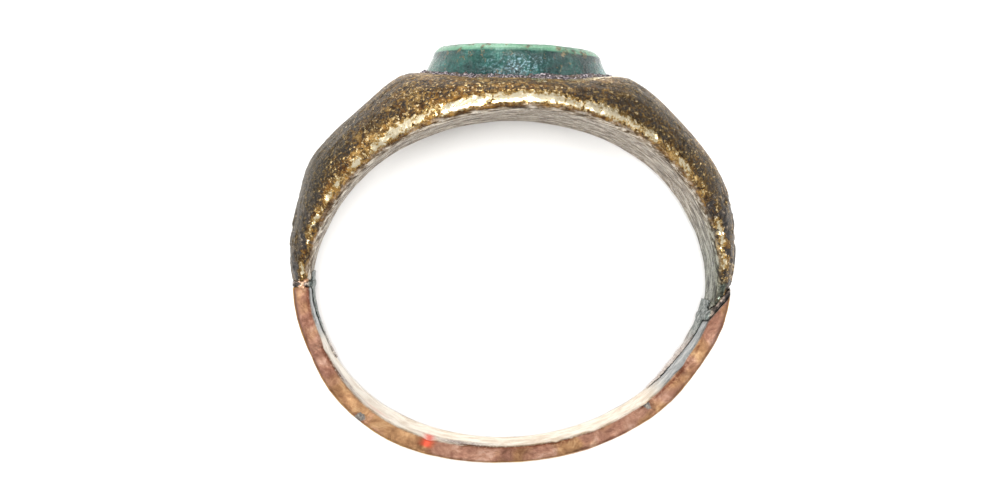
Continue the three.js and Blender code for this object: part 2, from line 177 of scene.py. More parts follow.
@dataclass
class Skin:
    """The points of a mesh in the ring's own axes, with what the carving needs to know of each.

    Attributes:
        points: Places in millimetres, one to a row.
        normals: Unit normals, one to a row.
    """

    points: Array
    normals: Array

    @property
    def angle(self) -> Array:
        """Degrees from the middle of the bezel, clockwise seen from the front."""
        return np.degrees(np.arctan2(self.points[:, 0], self.points[:, 1]))

    @property
    def radius(self) -> Array:
        """Distance from the middle of the finger hole, in millimetres."""
        return np.hypot(self.points[:, 0], self.points[:, 1])

    @property
    def along(self) -> Array:
        """Place along the finger, to the front, in millimetres."""
        return self.points[:, 2]

    @property
    def outward(self) -> Array:
        """How far each normal points away from the finger: 1 outside, -1 inside."""
        return np.sum(self.normals[:, :2] * self.points[:, :2], axis=1) / self.radius

    @property
    def over_hole(self) -> Array:
        """How far each point is outside the finger hole, in millimetres."""
        turned = np.radians(self.angle + HOLE_LEAN)
        return self.radius - 1.0 / np.hypot(np.sin(turned) / HOLE_HALF[0], np.cos(turned) / HOLE_HALF[1])

    @property
    def hoop_place(self) -> Array:
        """Millimetres round the hoop, along the finger and out from it, one row for each point."""
        return np.stack([np.radians(self.angle) * self.radius, self.along, self.radius], axis=1)


class MeshWork:
    """Turns a CAD node into a fine mesh that can be sculpted, and back into a piece."""

    @staticmethod
    def fine_copy(node: str, voxel: float, smoothing: int = 0) -> bpy.types.Mesh:
        """Copies a node, merges its corners and remeshes it finely, in standing millimetres.

        Args:
            node: The CAD node.
            voxel: The size of the new mesh's faces in millimetres.
            smoothing: How many times the new mesh is smoothed.

        Returns:
            The new mesh.
        """
        work = bmesh.new()
        work.from_mesh(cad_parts[node].data)
        bmesh.ops.remove_doubles(work, verts=work.verts, dist=0.001 * MM)
        bmesh.ops.transform(work, matrix=AXES.to_row().inverted(), verts=work.verts)
        coarse = bpy.data.meshes.new(node + "_coarse")
        work.to_mesh(coarse)
        work.free()
        return MeshWork.remeshed(coarse, voxel, smoothing)

    @staticmethod
    def remeshed(coarse: bpy.types.Mesh, voxel: float, smoothing: int) -> bpy.types.Mesh:
        """Remeshes a closed mesh with even faces.

        Args:
            coarse: The mesh, in millimetres. It is removed.
            voxel: The size of the new mesh's faces in millimetres.
            smoothing: How many times the new mesh is smoothed.

        Returns:
            The new mesh.
        """
        holder = bpy.data.objects.new("remesh_holder", coarse)
        bpy.context.scene.collection.objects.link(holder)
        remesh = holder.modifiers.new("even", "REMESH")
        remesh.mode = "VOXEL"
        remesh.voxel_size = voxel
        if smoothing:
            relax = holder.modifiers.new("relax", "SMOOTH")
            relax.factor = 0.5
            relax.iterations = smoothing
        graph = bpy.context.evaluated_depsgraph_get()
        fine = bpy.data.meshes.new_from_object(holder.evaluated_get(graph))
        bpy.data.objects.remove(holder)
        bpy.data.meshes.remove(coarse)
        return fine

    @staticmethod
    def read(mesh: bpy.types.Mesh) -> Skin:
        """Reads a mesh's points and normals.

        Args:
            mesh: The mesh in standing millimetres.

        Returns:
            Its skin.
        """
        count = len(mesh.vertices)
        points = np.empty(count * 3)
        normals = np.empty(count * 3)
        mesh.vertices.foreach_get("co", points)
        mesh.vertices.foreach_get("normal", normals)
        return Skin(points.reshape(-1, 3), normals.reshape(-1, 3))

    @staticmethod
    def write(mesh: bpy.types.Mesh, points: Array) -> None:
        """Writes moved points back to a mesh.

        Args:
            mesh: The mesh.
            points: Its new places, one to a row.
        """
        mesh.vertices.foreach_set("co", points.astype(np.float32).ravel())
        mesh.update()

    @staticmethod
    def paint(mesh: bpy.types.Mesh, name: str, values: Array) -> None:
        """Stores a number, or a vector, for each point of a mesh, for its material to read.

        Args:
            mesh: The mesh.
            name: The attribute's name.
            values: One number, or one row of three, for each point.
        """
        kind, key = ("FLOAT", "value") if values.ndim == 1 else ("FLOAT_VECTOR", "vector")
        layer = mesh.attributes.new(name, kind, "POINT")
        layer.data.foreach_set(key, values.astype(np.float32).ravel())

    @staticmethod
    def piece(mesh: bpy.types.Mesh, name: str, material: bpy.types.Material, slot: str,
              stands_for: str | None = None) -> bpy.types.Object:
        """Makes a piece of the ring of a sculpted mesh.

        Args:
            mesh: The mesh in standing millimetres.
            name: The piece's name.
            material: Its material.
            slot: The record's material slot. It is not used.
            stands_for: The CAD node that it replaces, if any.

        Returns:
            The piece, in the row frame and riding on the ring.
        """
        mesh.transform(AXES.to_row())
        mesh.name = name
        mesh.materials.clear()
        mesh.materials.append(material)
        mesh.polygons.foreach_set("use_smooth", [True] * len(mesh.polygons))
        mesh.update()
        made = bpy.data.objects.new(name, mesh)
        bpy.context.scene.collection.objects.link(made)
        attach(made, BODY)
        if stands_for:
            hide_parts(stands_for)
        log.info("%s: %d points, %d faces", name, len(mesh.vertices), len(mesh.polygons))
        return made


def per_metre(size: float) -> float:
    """The scale of a pattern whose features are size millimetres wide, for coordinates in metres."""
    return 1.0 / (size * MM)


def feed(tree: bpy.types.NodeTree, socket: bpy.types.NodeSocket, value: object) -> None:
    """Gives an input its value.

    Args:
        tree: The node tree.
        socket: The input.
        value: A number, a vector, a hex colour, or the node or output that feeds the input.
    """
    if isinstance(value, bpy.types.Node):
        value = next(output for output in value.outputs if output.enabled)
    if isinstance(value, bpy.types.NodeSocket):
        tree.links.new(value, socket)
    else:
        socket.default_value = linear(value) if isinstance(value, str) else value


def add(tree: bpy.types.NodeTree, kind: str, inputs: dict[str, object] | tuple[object, ...] = (),
        stops: list[tuple[float, str]] | None = None, **settings: object) -> bpy.types.Node:
    """Adds a node with its settings and links.

    Args:
        tree: The node tree.
        kind: The node's type, without ShaderNode in front.
        inputs: What feeds each input, by its name, or in the order of the inputs in use.
        stops: Places and hex colours for a colour ramp.
        settings: The node's own properties.

    Returns:
        The node.
    """
    made = tree.nodes.new("ShaderNode" + kind)
    for name, value in settings.items():
        setattr(made, name, value)
    if isinstance(inputs, dict):
        pairs = [(made.inputs[name], value) for name, value in inputs.items()]
    else:
        pairs = zip([socket for socket in made.inputs if socket.enabled], inputs)
    for socket, value in pairs:
        feed(tree, socket, value)
    if stops:
        ramp = made.color_ramp.elements
        while len(ramp) < len(stops):
            ramp.new(1.0)
        for element, (place, colour) in zip(ramp, stops):
            element.position = place
            element.color = linear(colour)
    return made


@dataclass
class Recipe:
    """A material being made: its tree, its shader and the coordinates that its patterns read.

    Attributes:
        name: The material's name.
        material: The material.
        tree: Its node tree.
        shader: Its shader.
        place: Object coordinates, in metres.
    """

    name: str
    material: bpy.types.Material = field(init=False)
    tree: bpy.types.NodeTree = field(init=False)
    shader: bpy.types.Node = field(init=False)
    place: bpy.types.NodeSocket = field(init=False)

    def __post_init__(self) -> None:
        """Makes the material with an empty shader that reads Object coordinates."""
        self.material = bpy.data.materials.new(self.name)
        self.material.use_nodes = True
        self.tree = self.material.node_tree
        self.tree.nodes.clear()
        self.shader = add(self.tree, "BsdfPrincipled")
        add(self.tree, "OutputMaterial", {"Surface": self.shader})
        self.place = add(self.tree, "TexCoord").outputs["Object"]

    def bump(self, layers: list[tuple[object, float]]) -> None:
        """Gives the shader relief, the finest layer last.

        Args:
            layers: Heights from 0 to 1, each with its depth in millimetres.
        """
        relief = None
        for height, depth in layers:
            values = {"Height": height, "Strength": 1.0, "Distance": depth * MM}
            if relief is not None:
                values["Normal"] = relief
            relief = add(self.tree, "Bump", values)
        feed(self.tree, self.shader.inputs["Normal"], relief)

    def set(self, **values: object) -> None:
        """Sets the shader's inputs.

        Args:
            values: What feeds each input, by its name with _ for a space.
        """
        for name, value in values.items():
            feed(self.tree, self.shader.inputs[name.replace("_", " ")], value)


@dataclass(frozen=True)
class PatinatedBronze:
    """Cast bronze, long buried and since cleaned: a brown and gold ground full of dark specks and bright
    grains, bare metal on worn edges with a painted cream highlight along them, black crust near the joints
    and a pale grey scoured inside. Dust in the pores makes it pale where it turns from the eye.

    Attributes:
        speck: Width of the dark specks in millimetres.
        glint: Width of the bright grains in millimetres.
        ground: Width of the mottling of the ground in millimetres.
        cloud: Width of the slow changes of tone in millimetres.
        crust: Width of the crust's islands in millimetres.
        blotch: Width of the ochre blotches in millimetres.
        streak: Length and width of the scoured streaks in millimetres.
        inner_metal: Metalness of the scoured inside.
    """

    speck: float = 0.21
    glint: float = 0.13
    ground: float = 0.4
    cloud: float = 1.7
    crust: float = 0.55
    blotch: float = 0.9
    streak: tuple[float, float] = (0.85, 0.18)
    inner_metal: float = 0.552

    def make(self) -> bpy.types.Material:
        """Makes the material."""
        mix = Recipe("patinated_cast_bronze")
        tree = mix.tree
        polish_and_highlight = add(tree, "Attribute", attribute_name="polish_and_highlight").outputs["Fac"]
        inner = add(tree, "Attribute", attribute_name="inner").outputs["Fac"]
        crust = add(tree, "Attribute", attribute_name="crust").outputs["Fac"]
        tone = add(tree, "Attribute", attribute_name="tone").outputs["Fac"]
        green = add(tree, "Attribute", attribute_name="green").outputs["Fac"]
        hoop = add(tree, "Attribute", attribute_name="hoop_place").outputs["Vector"]
        specks = add(tree, "TexNoise", {
            "Vector": mix.place, "Scale": per_metre(self.speck), "Detail": 4.0, "Roughness": 0.65,
            "Distortion": 0.3})
        glints = add(tree, "TexNoise", {
            "Vector": mix.place, "Scale": per_metre(self.glint), "Detail": 3.0, "Roughness": 0.65})
        ground = add(tree, "TexNoise", {
            "Vector": mix.place, "Scale": per_metre(self.ground), "Detail": 4.0, "Roughness": 0.65,
            "Distortion": 0.4})
        clouds = add(tree, "TexNoise", {
            "Vector": mix.place, "Scale": per_metre(self.cloud), "Detail": 3.0, "Roughness": 0.55,
            "Distortion": 0.4})
        islands = add(tree, "TexNoise", {
            "Vector": mix.place, "Scale": per_metre(self.crust), "Detail": 5.0, "Roughness": 0.65,
            "Distortion": 0.3})

        # Inside, wear round the finger has drawn streaks along the hoop, and the flanks have them fainter.
        size = (1.0 / self.streak[0] * MM, 1.0 / self.streak[1] * MM, 1.0 / self.streak[1] * MM)
        streaks = add(tree, "VectorMath", (hoop, size), operation="MULTIPLY")
        streak = add(tree, "TexNoise", {
            "Vector": streaks, "Scale": per_metre(1.0), "Detail": 3.0, "Roughness": 0.6, "Distortion": 0.4})

        # Clouds, streaks, the painted tone and the polish with its painted highlight shift how much of the
        # ground is speck or grain.
        drift = add(tree, "Math", (
            add(tree, "Math", (add(tree, "Math", (clouds, streak)), 1.0), operation="SUBTRACT"), 0.2
        ), operation="MULTIPLY")
        shade = add(tree, "Math", (drift, add(tree, "Math", (tone, 0.06), operation="MULTIPLY")))
        lift = add(tree, "Math", (shade, add(tree, "Math", (polish_and_highlight, 0.1), operation="MULTIPLY")))
        dark = add(tree, "MapRange", (
            add(tree, "Math", (specks, lift), operation="SUBTRACT"), 0.51, 0.56
        ), interpolation_type="SMOOTHSTEP")
        bright = add(tree, "MapRange", (
            add(tree, "Math", (glints, lift)), 0.57, 0.66), interpolation_type="SMOOTHSTEP")
        matrix = add(tree, "ValToRGB", {"Fac": add(tree, "Math", (ground, shade))}, stops=[
            (0.36, "#2A1C0D"), (0.45, "#523B1F"), (0.53, "#73582F"), (0.6, "#947442"), (0.7, "#C0A068")])
        blotches = add(tree, "TexNoise", {
            "Vector": mix.place, "Scale": per_metre(self.blotch), "Detail": 4.0, "Roughness": 0.6,
            "Distortion": 0.6})
        ochre = add(tree, "MapRange", (blotches, 0.48, 0.6, 0.0, 0.5), interpolation_type="SMOOTHSTEP")
        matrix = add(tree, "Mix", (
            ochre, matrix,
            add(tree, "ValToRGB", {"Fac": ground}, stops=[
                (0.36, "#482C10"), (0.5, "#865A20"), (0.64, "#BC8E42")])), data_type="RGBA")

        # Dark specks lie over the mottled ground, bright grains over both, and worn metal with a painted
        # cream highlight over all.
        patina = add(tree, "ValToRGB", {"Fac": glints}, stops=[
            (0.36, "#19110B"), (0.48, "#31251A"), (0.58, "#4E3F2C"), (0.68, "#7E6D56")])
        metal = add(tree, "ValToRGB", {"Fac": glints}, stops=[
            (0.5, "#C6A264"), (0.6, "#E6CD98"), (0.7, "#FCEFD0")])
        ragged = add(tree, "Math", (
            add(tree, "Math", (add(tree, "Math", (specks, glints)), 1.0), operation="SUBTRACT"), 2.6
        ), operation="MULTIPLY")
        rubbed = add(tree, "Math", (polish_and_highlight, ragged))
        bare = add(tree, "MapRange", (rubbed, 0.25, 0.5), interpolation_type="SMOOTHSTEP")
        # The worn colour runs from rubbed gold into a painted cream highlight.
        worn_and_highlight = add(tree, "ValToRGB", {"Fac": rubbed}, stops=[
            (0.3, "#8A5E22"), (0.48, "#BC9148"), (0.68, "#E4C88E"), (0.95, "#FBECCA")])
        outside = add(tree, "Mix", (dark, matrix, patina), data_type="RGBA")
        outside = add(tree, "Mix", (bright, outside, metal), data_type="RGBA")
        outside = add(tree, "Mix", (bare, outside, worn_and_highlight), data_type="RGBA")

        # A brown band runs under the arris, and where the tone is below 0 the colour turns a darker brown.
        outside = add(tree, "Mix", (
            add(tree, "Attribute", attribute_name="brown").outputs["Fac"], outside,
            add(tree, "ValToRGB", {"Fac": ground}, stops=[
                (0.38, "#3A220A"), (0.52, "#7E5114"), (0.64, "#B98832")])), data_type="RGBA")
        outside = add(tree, "Mix", (
            add(tree, "Math", (tone, -0.8), operation="MULTIPLY"), outside,
            add(tree, "ValToRGB", {"Fac": glints}, stops=[
                (0.42, "#1D160B"), (0.56, "#3F321A"), (0.68, "#8A7448")])), data_type="RGBA")

        # Near the joints black crust covers the islands, and beside the right one it is greenish.
        black = add(tree, "Math", (
            crust,
            add(tree, "MapRange", (
                add(tree, "Math", (
                    islands, add(tree, "Math", (polish_and_highlight, 0.1), operation="MULTIPLY")), operation="SUBTRACT"),
                0.485, 0.53), interpolation_type="SMOOTHSTEP")), operation="MULTIPLY")
        soot = add(tree, "ValToRGB", {"Fac": specks}, stops=[
            (0.36, "#0B0806"), (0.48, "#231C17"), (0.58, "#4A3E33"), (0.66, "#A89780")])
        outside = add(tree, "Mix", (black, outside, soot), data_type="RGBA")
        outside = add(tree, "Mix", (
            add(tree, "Attribute", attribute_name="verdigris").outputs["Fac"], outside,
            add(tree, "ValToRGB", {"Fac": glints}, stops=[
                (0.4, "#20261F"), (0.5, "#454E43"), (0.62, "#7C8478")])), data_type="RGBA")

        # The inside is pale grey and drawn out in streaks, and greener towards the right joint.
        drawn = add(tree, "Math", (
            add(tree, "Math", (streak, 0.8), operation="MULTIPLY"),
            add(tree, "Math", (glints, 0.2), operation="MULTIPLY")))
        scoured = add(tree, "ValToRGB", {"Fac": drawn}, stops=[
            (0.4, "#3A2A1A"), (0.46, "#6E5C46"), (0.52, "#9C8D79"), (0.59, "#DDD4C6")])
        scoured = add(tree, "Mix", (
            add(tree, "Math", (green, 0.75), operation="MULTIPLY"), scoured,
            add(tree, "ValToRGB", {"Fac": drawn}, stops=[
                (0.42, "#23282A"), (0.5, "#666F64"), (0.58, "#9AA094")])), data_type="RGBA")
        colour = add(tree, "Mix", (inner, outside, scoured), data_type="RGBA")

        # Specks and crust are less of a metal than the ground, and grains and worn metal more.
        dull = add(tree, "Math", (
            add(tree, "Math", (dark, 0.35), operation="MULTIPLY"),
            add(tree, "Math", (black, 0.45), operation="MULTIPLY")), operation="MAXIMUM")
        shine = add(tree, "Math", (bright, bare), operation="MAXIMUM")
        metalness = add(tree, "Math", (
            add(tree, "MapRange", (shine, 0.0, 1.0, 0.8, 1.0), interpolation_type="SMOOTHSTEP"), dull
        ), operation="SUBTRACT")
        metalness = add(tree, "Mix", (inner, metalness, self.inner_metal))
        rough = add(tree, "Math", (
            add(tree, "MapRange", (shine, 0.0, 1.0, 0.5, 0.32), interpolation_type="SMOOTHSTEP"),
            add(tree, "Math", (bare, 0.06), operation="MULTIPLY")), operation="SUBTRACT")
        mix.set(
            Base_Color=colour, Metallic=metalness, Roughness=rough, Sheen_Weight=0.06, Sheen_Roughness=0.45,
            Sheen_Tint="#E9DCC2")

        # Worn metal is smoother than the rest.
        calm = add(tree, "MapRange", (bare, 0.0, 1.0, 1.0, 0.25), interpolation_type="SMOOTHSTEP")
        relief = [(clouds, 0.05), (islands, 0.05), (ground, 0.05), (specks, 0.05), (glints, 0.03)]
        mix.bump(
            [(add(tree, "Math", (height, calm), operation="MULTIPLY"), depth) for height, depth in relief])
        return mix.material


@dataclass(frozen=True)
class WeatheredGlass:
    """Moulded green glass, weathered: the wall keeps its dark teal gloss under a painted blue-white
    reflection broken by pale pits, and the face has gone frosted and mint green, with smooth hollows,
    painted white highlights on some lips and brown earth left on it.

    Attributes:
        pits: Width of the pits in the skin in millimetres.
        stains: Width of the earth's specks in millimetres.
        cloud: Width of the slow changes of tone in millimetres.
    """

    pits: float = 0.12
    stains: float = 0.42
    cloud: float = 1.2

    def make(self) -> bpy.types.Material:
        """Makes the material."""
        mix = Recipe("weathered_green_glass")
        tree = mix.tree
        face = add(tree, "Attribute", attribute_name="face").outputs["Fac"]
        hollow = add(tree, "Attribute", attribute_name="hollow").outputs["Fac"]
        dirt = add(tree, "Attribute", attribute_name="dirt").outputs["Fac"]
        blue = add(tree, "Attribute", attribute_name="blue").outputs["Fac"]
        pitted_reflection = add(tree, "Attribute", attribute_name="pitted_reflection").outputs["Fac"]
        fine = add(tree, "TexNoise", {
            "Vector": mix.place, "Scale": per_metre(self.pits), "Detail": 4.0, "Roughness": 0.7})
        clouds = add(tree, "TexNoise", {
            "Vector": mix.place, "Scale": per_metre(self.cloud), "Detail": 3.0, "Roughness": 0.6,
            "Distortion": 0.5})
        specks = add(tree, "TexNoise", {
            "Vector": mix.place, "Scale": per_metre(self.stains), "Detail": 5.0, "Roughness": 0.7,
            "Distortion": 0.3})

        # The wall is dark teal, with a painted blue-white reflection on it, broken up by fine pits.
        wall = add(tree, "ValToRGB", {
            "Fac": add(tree, "Math", (
                add(tree, "Math", (clouds, 0.6), operation="MULTIPLY"),
                add(tree, "Math", (fine, 0.4), operation="MULTIPLY")))}, stops=[
            (0.38, "#01211F"), (0.5, "#083833"), (0.6, "#1C544C"), (0.68, "#447F74")])
        pits_and_reflection = add(tree, "Math", (
            add(tree, "MapRange", (fine, 0.5, 0.66), interpolation_type="SMOOTHSTEP"), pitted_reflection
        ), operation="MULTIPLY")
        wall = add(tree, "Mix", (
            add(tree, "Math", (pits_and_reflection, 0.85), operation="MULTIPLY"), wall, "#A6CBDA"), data_type="RGBA")

        # The face is frosted mint, bluer towards one side, smoother in its hollows, with a painted white
        # highlight on some lips and creases.
        frost = add(tree, "ValToRGB", {
            "Fac": add(tree, "Math", (
                add(tree, "Math", (fine, 0.6), operation="MULTIPLY"),
                add(tree, "Math", (clouds, 0.4), operation="MULTIPLY")))}, stops=[
            (0.4, "#50725B"), (0.47, "#6F9479"), (0.53, "#83A88E"), (0.59, "#9CBEA5"), (0.66, "#D8E8DC")])
        frost = add(tree, "Mix", (
            add(tree, "Math", (blue, 0.5), operation="MULTIPLY"), frost, "#7EA6A8"), data_type="RGBA")
        smooth = add(tree, "ValToRGB", {"Fac": clouds}, stops=[(0.36, "#4B8060"), (0.6, "#6B9D7C")])
        top = add(tree, "Mix", (
            add(tree, "Math", (hollow, 0.85), operation="MULTIPLY"), frost, smooth), data_type="RGBA")
        painted_lip_highlight = add(tree, "Math", (
            add(tree, "Attribute", attribute_name="lip_highlight").outputs["Fac"],
            add(tree, "MapRange", (fine, 0.5, 0.62), interpolation_type="SMOOTHSTEP")
        ), operation="MULTIPLY")
        top = add(tree, "Mix", (painted_lip_highlight, top, "#E6F2EA"), data_type="RGBA")
        top = add(tree, "Mix", (
            add(tree, "Attribute", attribute_name="spot").outputs["Fac"], top, "#2A93A4"), data_type="RGBA")
        shallow = add(tree, "Attribute", attribute_name="shallow").outputs["Fac"]
        band = add(tree, "ValToRGB", {
            "Fac": add(tree, "Math", (
                add(tree, "Math", (fine, 0.35), operation="MULTIPLY"),
                add(tree, "Math", (clouds, 0.65), operation="MULTIPLY")))}, stops=[
            (0.38, "#4C7C60"), (0.5, "#5E9273"), (0.62, "#74A688")])
        top = add(tree, "Mix", (shallow, top, band), data_type="RGBA")

        # The bevel keeps a light skin, and the wall shows the dark body under its painted reflection.
        colour = add(tree, "Mix", (
            add(tree, "Attribute", attribute_name="bevel").outputs["Fac"], wall, band), data_type="RGBA")
        colour = add(tree, "Mix", (
            add(tree, "Math", (
                add(tree, "Attribute", attribute_name="rim").outputs["Fac"], 0.5), operation="MULTIPLY"),
            colour, "#2D5A49"), data_type="RGBA")
        colour = add(tree, "Mix", (face, colour, top), data_type="RGBA")

        # The frosted face is milky seen square on, and lets the dark body through where it is seen aslant.
        aslant = add(tree, "LayerWeight", {"Blend": 0.3}).outputs["Facing"]
        flat = add(tree, "Math", (
            face, add(tree, "Math", (shallow, 0.7), operation="MULTIPLY")), operation="SUBTRACT")
        body = add(tree, "ValToRGB", {"Fac": clouds}, stops=[(0.36, "#122E27"), (0.6, "#2E4A40")])
        colour = add(tree, "Mix", (
            add(tree, "Math", (
                add(tree, "MapRange", (aslant, 0.15, 0.5, 0.0, 0.95), interpolation_type="SMOOTHSTEP"), flat
            ), operation="MULTIPLY"), colour, body), data_type="RGBA")

        # Brown earth sits in specks where the dirt is painted, burst bubbles are dark, and painted shade
        # lies along the head's top and in creases beside the figure.
        earth = add(tree, "Math", (
            add(tree, "MapRange", (
                add(tree, "Math", (specks, add(tree, "Math", (dirt, 0.22), operation="MULTIPLY"))), 0.63,
                0.69), interpolation_type="SMOOTHSTEP"), 0.85), operation="MULTIPLY")
        soil = add(tree, "ValToRGB", {"Fac": fine}, stops=[
            (0.4, "#2C2A18"), (0.5, "#54492A"), (0.62, "#7E6C44")])
        colour = add(tree, "Mix", (earth, colour, soil), data_type="RGBA")
        pocks_and_shade = add(tree, "Math", (
            add(tree, "Attribute", attribute_name="pocks_and_shade").outputs["Fac"],
            add(tree, "MapRange", (specks, 0.48, 0.58, 0.0, 0.75), interpolation_type="SMOOTHSTEP")
        ), operation="MULTIPLY")
        colour = add(tree, "Mix", (pocks_and_shade, colour, "#2A4436"), data_type="RGBA")

        rough = add(tree, "Math", (
            add(tree, "MapRange", (
                add(tree, "Math", (
                    face, add(tree, "Math", (hollow, 0.6), operation="MULTIPLY")), operation="SUBTRACT"),
                0.0, 1.0, 0.14, 0.45), interpolation_type="SMOOTHSTEP"),
            add(tree, "Math", (
                add(tree, "Math", (earth, pits_and_reflection), operation="MAXIMUM"), 0.22), operation="MULTIPLY")))
        mix.set(
            Base_Color=colour, Roughness=rough, IOR=1.52, Coat_Weight=0.08, Coat_Roughness=0.15,
            Subsurface_Weight=0.12, Subsurface_Radius=(0.4, 1.0, 0.7), Subsurface_Scale=0.3 * MM)
        mix.bump([(clouds, 0.04), (specks, 0.02), (fine, 0.03)])
        return mix.material


@dataclass(frozen=True)
class SettingCrust:
    """Cement and corrosion: a dark grey and violet paste of coarse grains, some of them glinting.

    Attributes:
        grit: Width of a grain in millimetres.
        earth: Width of the earthy patches in millimetres.
    """

    grit: float = 0.09
    earth: float = 0.5

    def make(self) -> bpy.types.Material:
        """Makes the material."""
        mix = Recipe("granular_setting_cement")
        tree = mix.tree
        grit = add(tree, "TexNoise", {
            "Vector": mix.place, "Scale": per_metre(self.grit), "Detail": 3.0, "Roughness": 0.65})
        tone = add(tree, "TexNoise", {
            "Vector": mix.place, "Scale": per_metre(self.earth), "Detail": 2.0, "Roughness": 0.5})
        colour = add(tree, "ValToRGB", {"Fac": grit}, stops=[
            (0.4, "#1A1519"), (0.48, "#3E353A"), (0.54, "#665B60"), (0.62, "#C9BFC3")])
        earthy = add(tree, "Mix", (
            add(tree, "MapRange", (tone, 0.48, 0.62, 0.0, 0.6), interpolation_type="SMOOTHSTEP"), colour,
            "#5A4A34"), data_type="RGBA")
        mix.set(Base_Color=earthy, Roughness=0.7, Metallic=0.0)
        mix.bump([(grit, 0.06)])
        return mix.material


@dataclass(frozen=True)
class StripBrass:
    """Newer brass strip: a golden face with slanting scratches and grey stains, coppery pink edges left
    by the saw, and a bright rubbed inside.

    Attributes:
        scratch: Width of a scratch in millimetres, wider than a real one so that it shows.
        reach: Length of a scratch in millimetres.
        slant: The scratches' slant across the strip in degrees.
        cloud: Width of the slow changes of tone in millimetres.
        grit: Width of the fine grain in millimetres.
        mottle: Width of the mottling of the sawn edges in millimetres.
        patch: Width of the edges' yellower patches in millimetres.
        fringe: Width of the ragged fringe of the stains in millimetres.
    """

    scratch: float = 0.06
    reach: float = 1.6
    slant: float = 58.0
    cloud: float = 0.9
    grit: float = 0.13
    mottle: float = 0.7
    patch: float = 1.7
    fringe: float = 0.3

    def make(self) -> bpy.types.Material:
        """Makes the material."""
        mix = Recipe("scratched_brass_strip")
        tree = mix.tree
        edge = add(tree, "Attribute", attribute_name="edge").outputs["Fac"]
        inner = add(tree, "Attribute", attribute_name="inner").outputs["Fac"]
        stain = add(tree, "Attribute", attribute_name="stain").outputs["Fac"]
        hoop = add(tree, "Attribute", attribute_name="hoop_place").outputs["Vector"]
        turned = add(tree, "Mapping", {
            "Vector": hoop, "Rotation": (0, 0, math.radians(self.slant)),
            "Scale": (self.reach, self.scratch, 1.0)}, vector_type="TEXTURE")
        lines = add(tree, "VectorMath", (turned, (MM, MM, MM)), operation="MULTIPLY")
        scratches = add(tree, "TexNoise", {
            "Vector": lines, "Scale": per_metre(1.0), "Detail": 3.0, "Roughness": 0.6})
        soft = add(tree, "TexNoise", {
            "Vector": mix.place, "Scale": per_metre(self.cloud), "Detail": 3.0, "Roughness": 0.6,
            "Distortion": 0.4})
        fine = add(tree, "TexNoise", {
            "Vector": mix.place, "Scale": per_metre(self.grit), "Detail": 3.0, "Roughness": 0.6})

        # The outer face is golden, with light and dark scratches, and a painted pale reflection towards the
        # bottom.
        gold = add(tree, "ValToRGB", {"Fac": soft}, stops=[
            (0.34, "#886020"), (0.5, "#AC8036"), (0.66, "#C49E50")])
        gold = add(tree, "Mix", (
            add(tree, "MapRange", (scratches, 0.56, 0.7, 0.0, 0.22), interpolation_type="SMOOTHSTEP"), gold,
            "#D8B870"), data_type="RGBA")
        gold = add(tree, "Mix", (
            add(tree, "MapRange", (scratches, 0.46, 0.36, 0.0, 0.28), interpolation_type="SMOOTHSTEP"),
            gold, "#6E4A1A"), data_type="RGBA")
        gold = add(tree, "Mix", (
            add(tree, "Attribute", attribute_name="pale_reflection").outputs["Fac"], gold, "#C9A484"
        ), data_type="RGBA")

        # The sawn edges are coppery pink with yellower patches, and painted mauve shade on their outer part
        # near the joints.
        tone = add(tree, "TexNoise", {
            "Vector": mix.place, "Scale": per_metre(self.mottle), "Detail": 4.0, "Roughness": 0.65,
            "Distortion": 0.5})
        pink = add(tree, "ValToRGB", {"Fac": tone}, stops=[
            (0.3, "#5A3828"), (0.45, "#7C5544"), (0.55, "#8E6854"), (0.7, "#A88674")])
        patches = add(tree, "TexNoise", {
            "Vector": mix.place, "Scale": per_metre(self.patch), "Detail": 2.0, "Roughness": 0.5})
        warm = add(tree, "MapRange", (patches, 0.45, 0.6, 0.0, 0.75), interpolation_type="SMOOTHSTEP")
        pink = add(tree, "Mix", (
            warm, pink,
            add(tree, "ValToRGB", {"Fac": tone}, stops=[
                (0.34, "#6A4828"), (0.52, "#8E6A42"), (0.68, "#AC8A5E")])), data_type="RGBA")
        pink = add(tree, "Mix", (
            add(tree, "Math", (
                add(tree, "Attribute", attribute_name="mauve").outputs["Fac"],
                add(tree, "MapRange", (tone, 0.4, 0.55, 0.4, 0.9), interpolation_type="SMOOTHSTEP")
            ), operation="MULTIPLY"), pink, "#5E403A"), data_type="RGBA")

        # The inside is rubbed bright, with grey tin where the solder ran.
        bright = add(tree, "ValToRGB", {"Fac": soft}, stops=[(0.36, "#CDB79A"), (0.6, "#F4EBDC")])
        bright = add(tree, "Mix", (
            add(tree, "Math", (
                add(tree, "Attribute", attribute_name="tin").outputs["Fac"], 0.9), operation="MULTIPLY"),
            bright,
            add(tree, "ValToRGB", {"Fac": tone}, stops=[
                (0.36, "#565D60"), (0.5, "#7E868A"), (0.64, "#B0B2B2")])), data_type="RGBA")
        colour = add(tree, "Mix", (edge, gold, pink), data_type="RGBA")
        colour = add(tree, "Mix", (inner, colour, bright), data_type="RGBA")
        colour = add(tree, "Mix", (
            add(tree, "Math", (
                add(tree, "Attribute", attribute_name="line").outputs["Fac"],
                add(tree, "MapRange", (fine, 0.36, 0.5, 0.3, 0.9), interpolation_type="SMOOTHSTEP")
            ), operation="MULTIPLY"), colour, "#56280F"), data_type="RGBA")
        # A painted red reflection sits in one notch of the front edge, and a copper red streak runs near it.
        colour = add(tree, "Mix", (
            add(tree, "Attribute", attribute_name="copper_and_reflection").outputs["Fac"], colour, "#E2543C"
        ), data_type="RGBA")

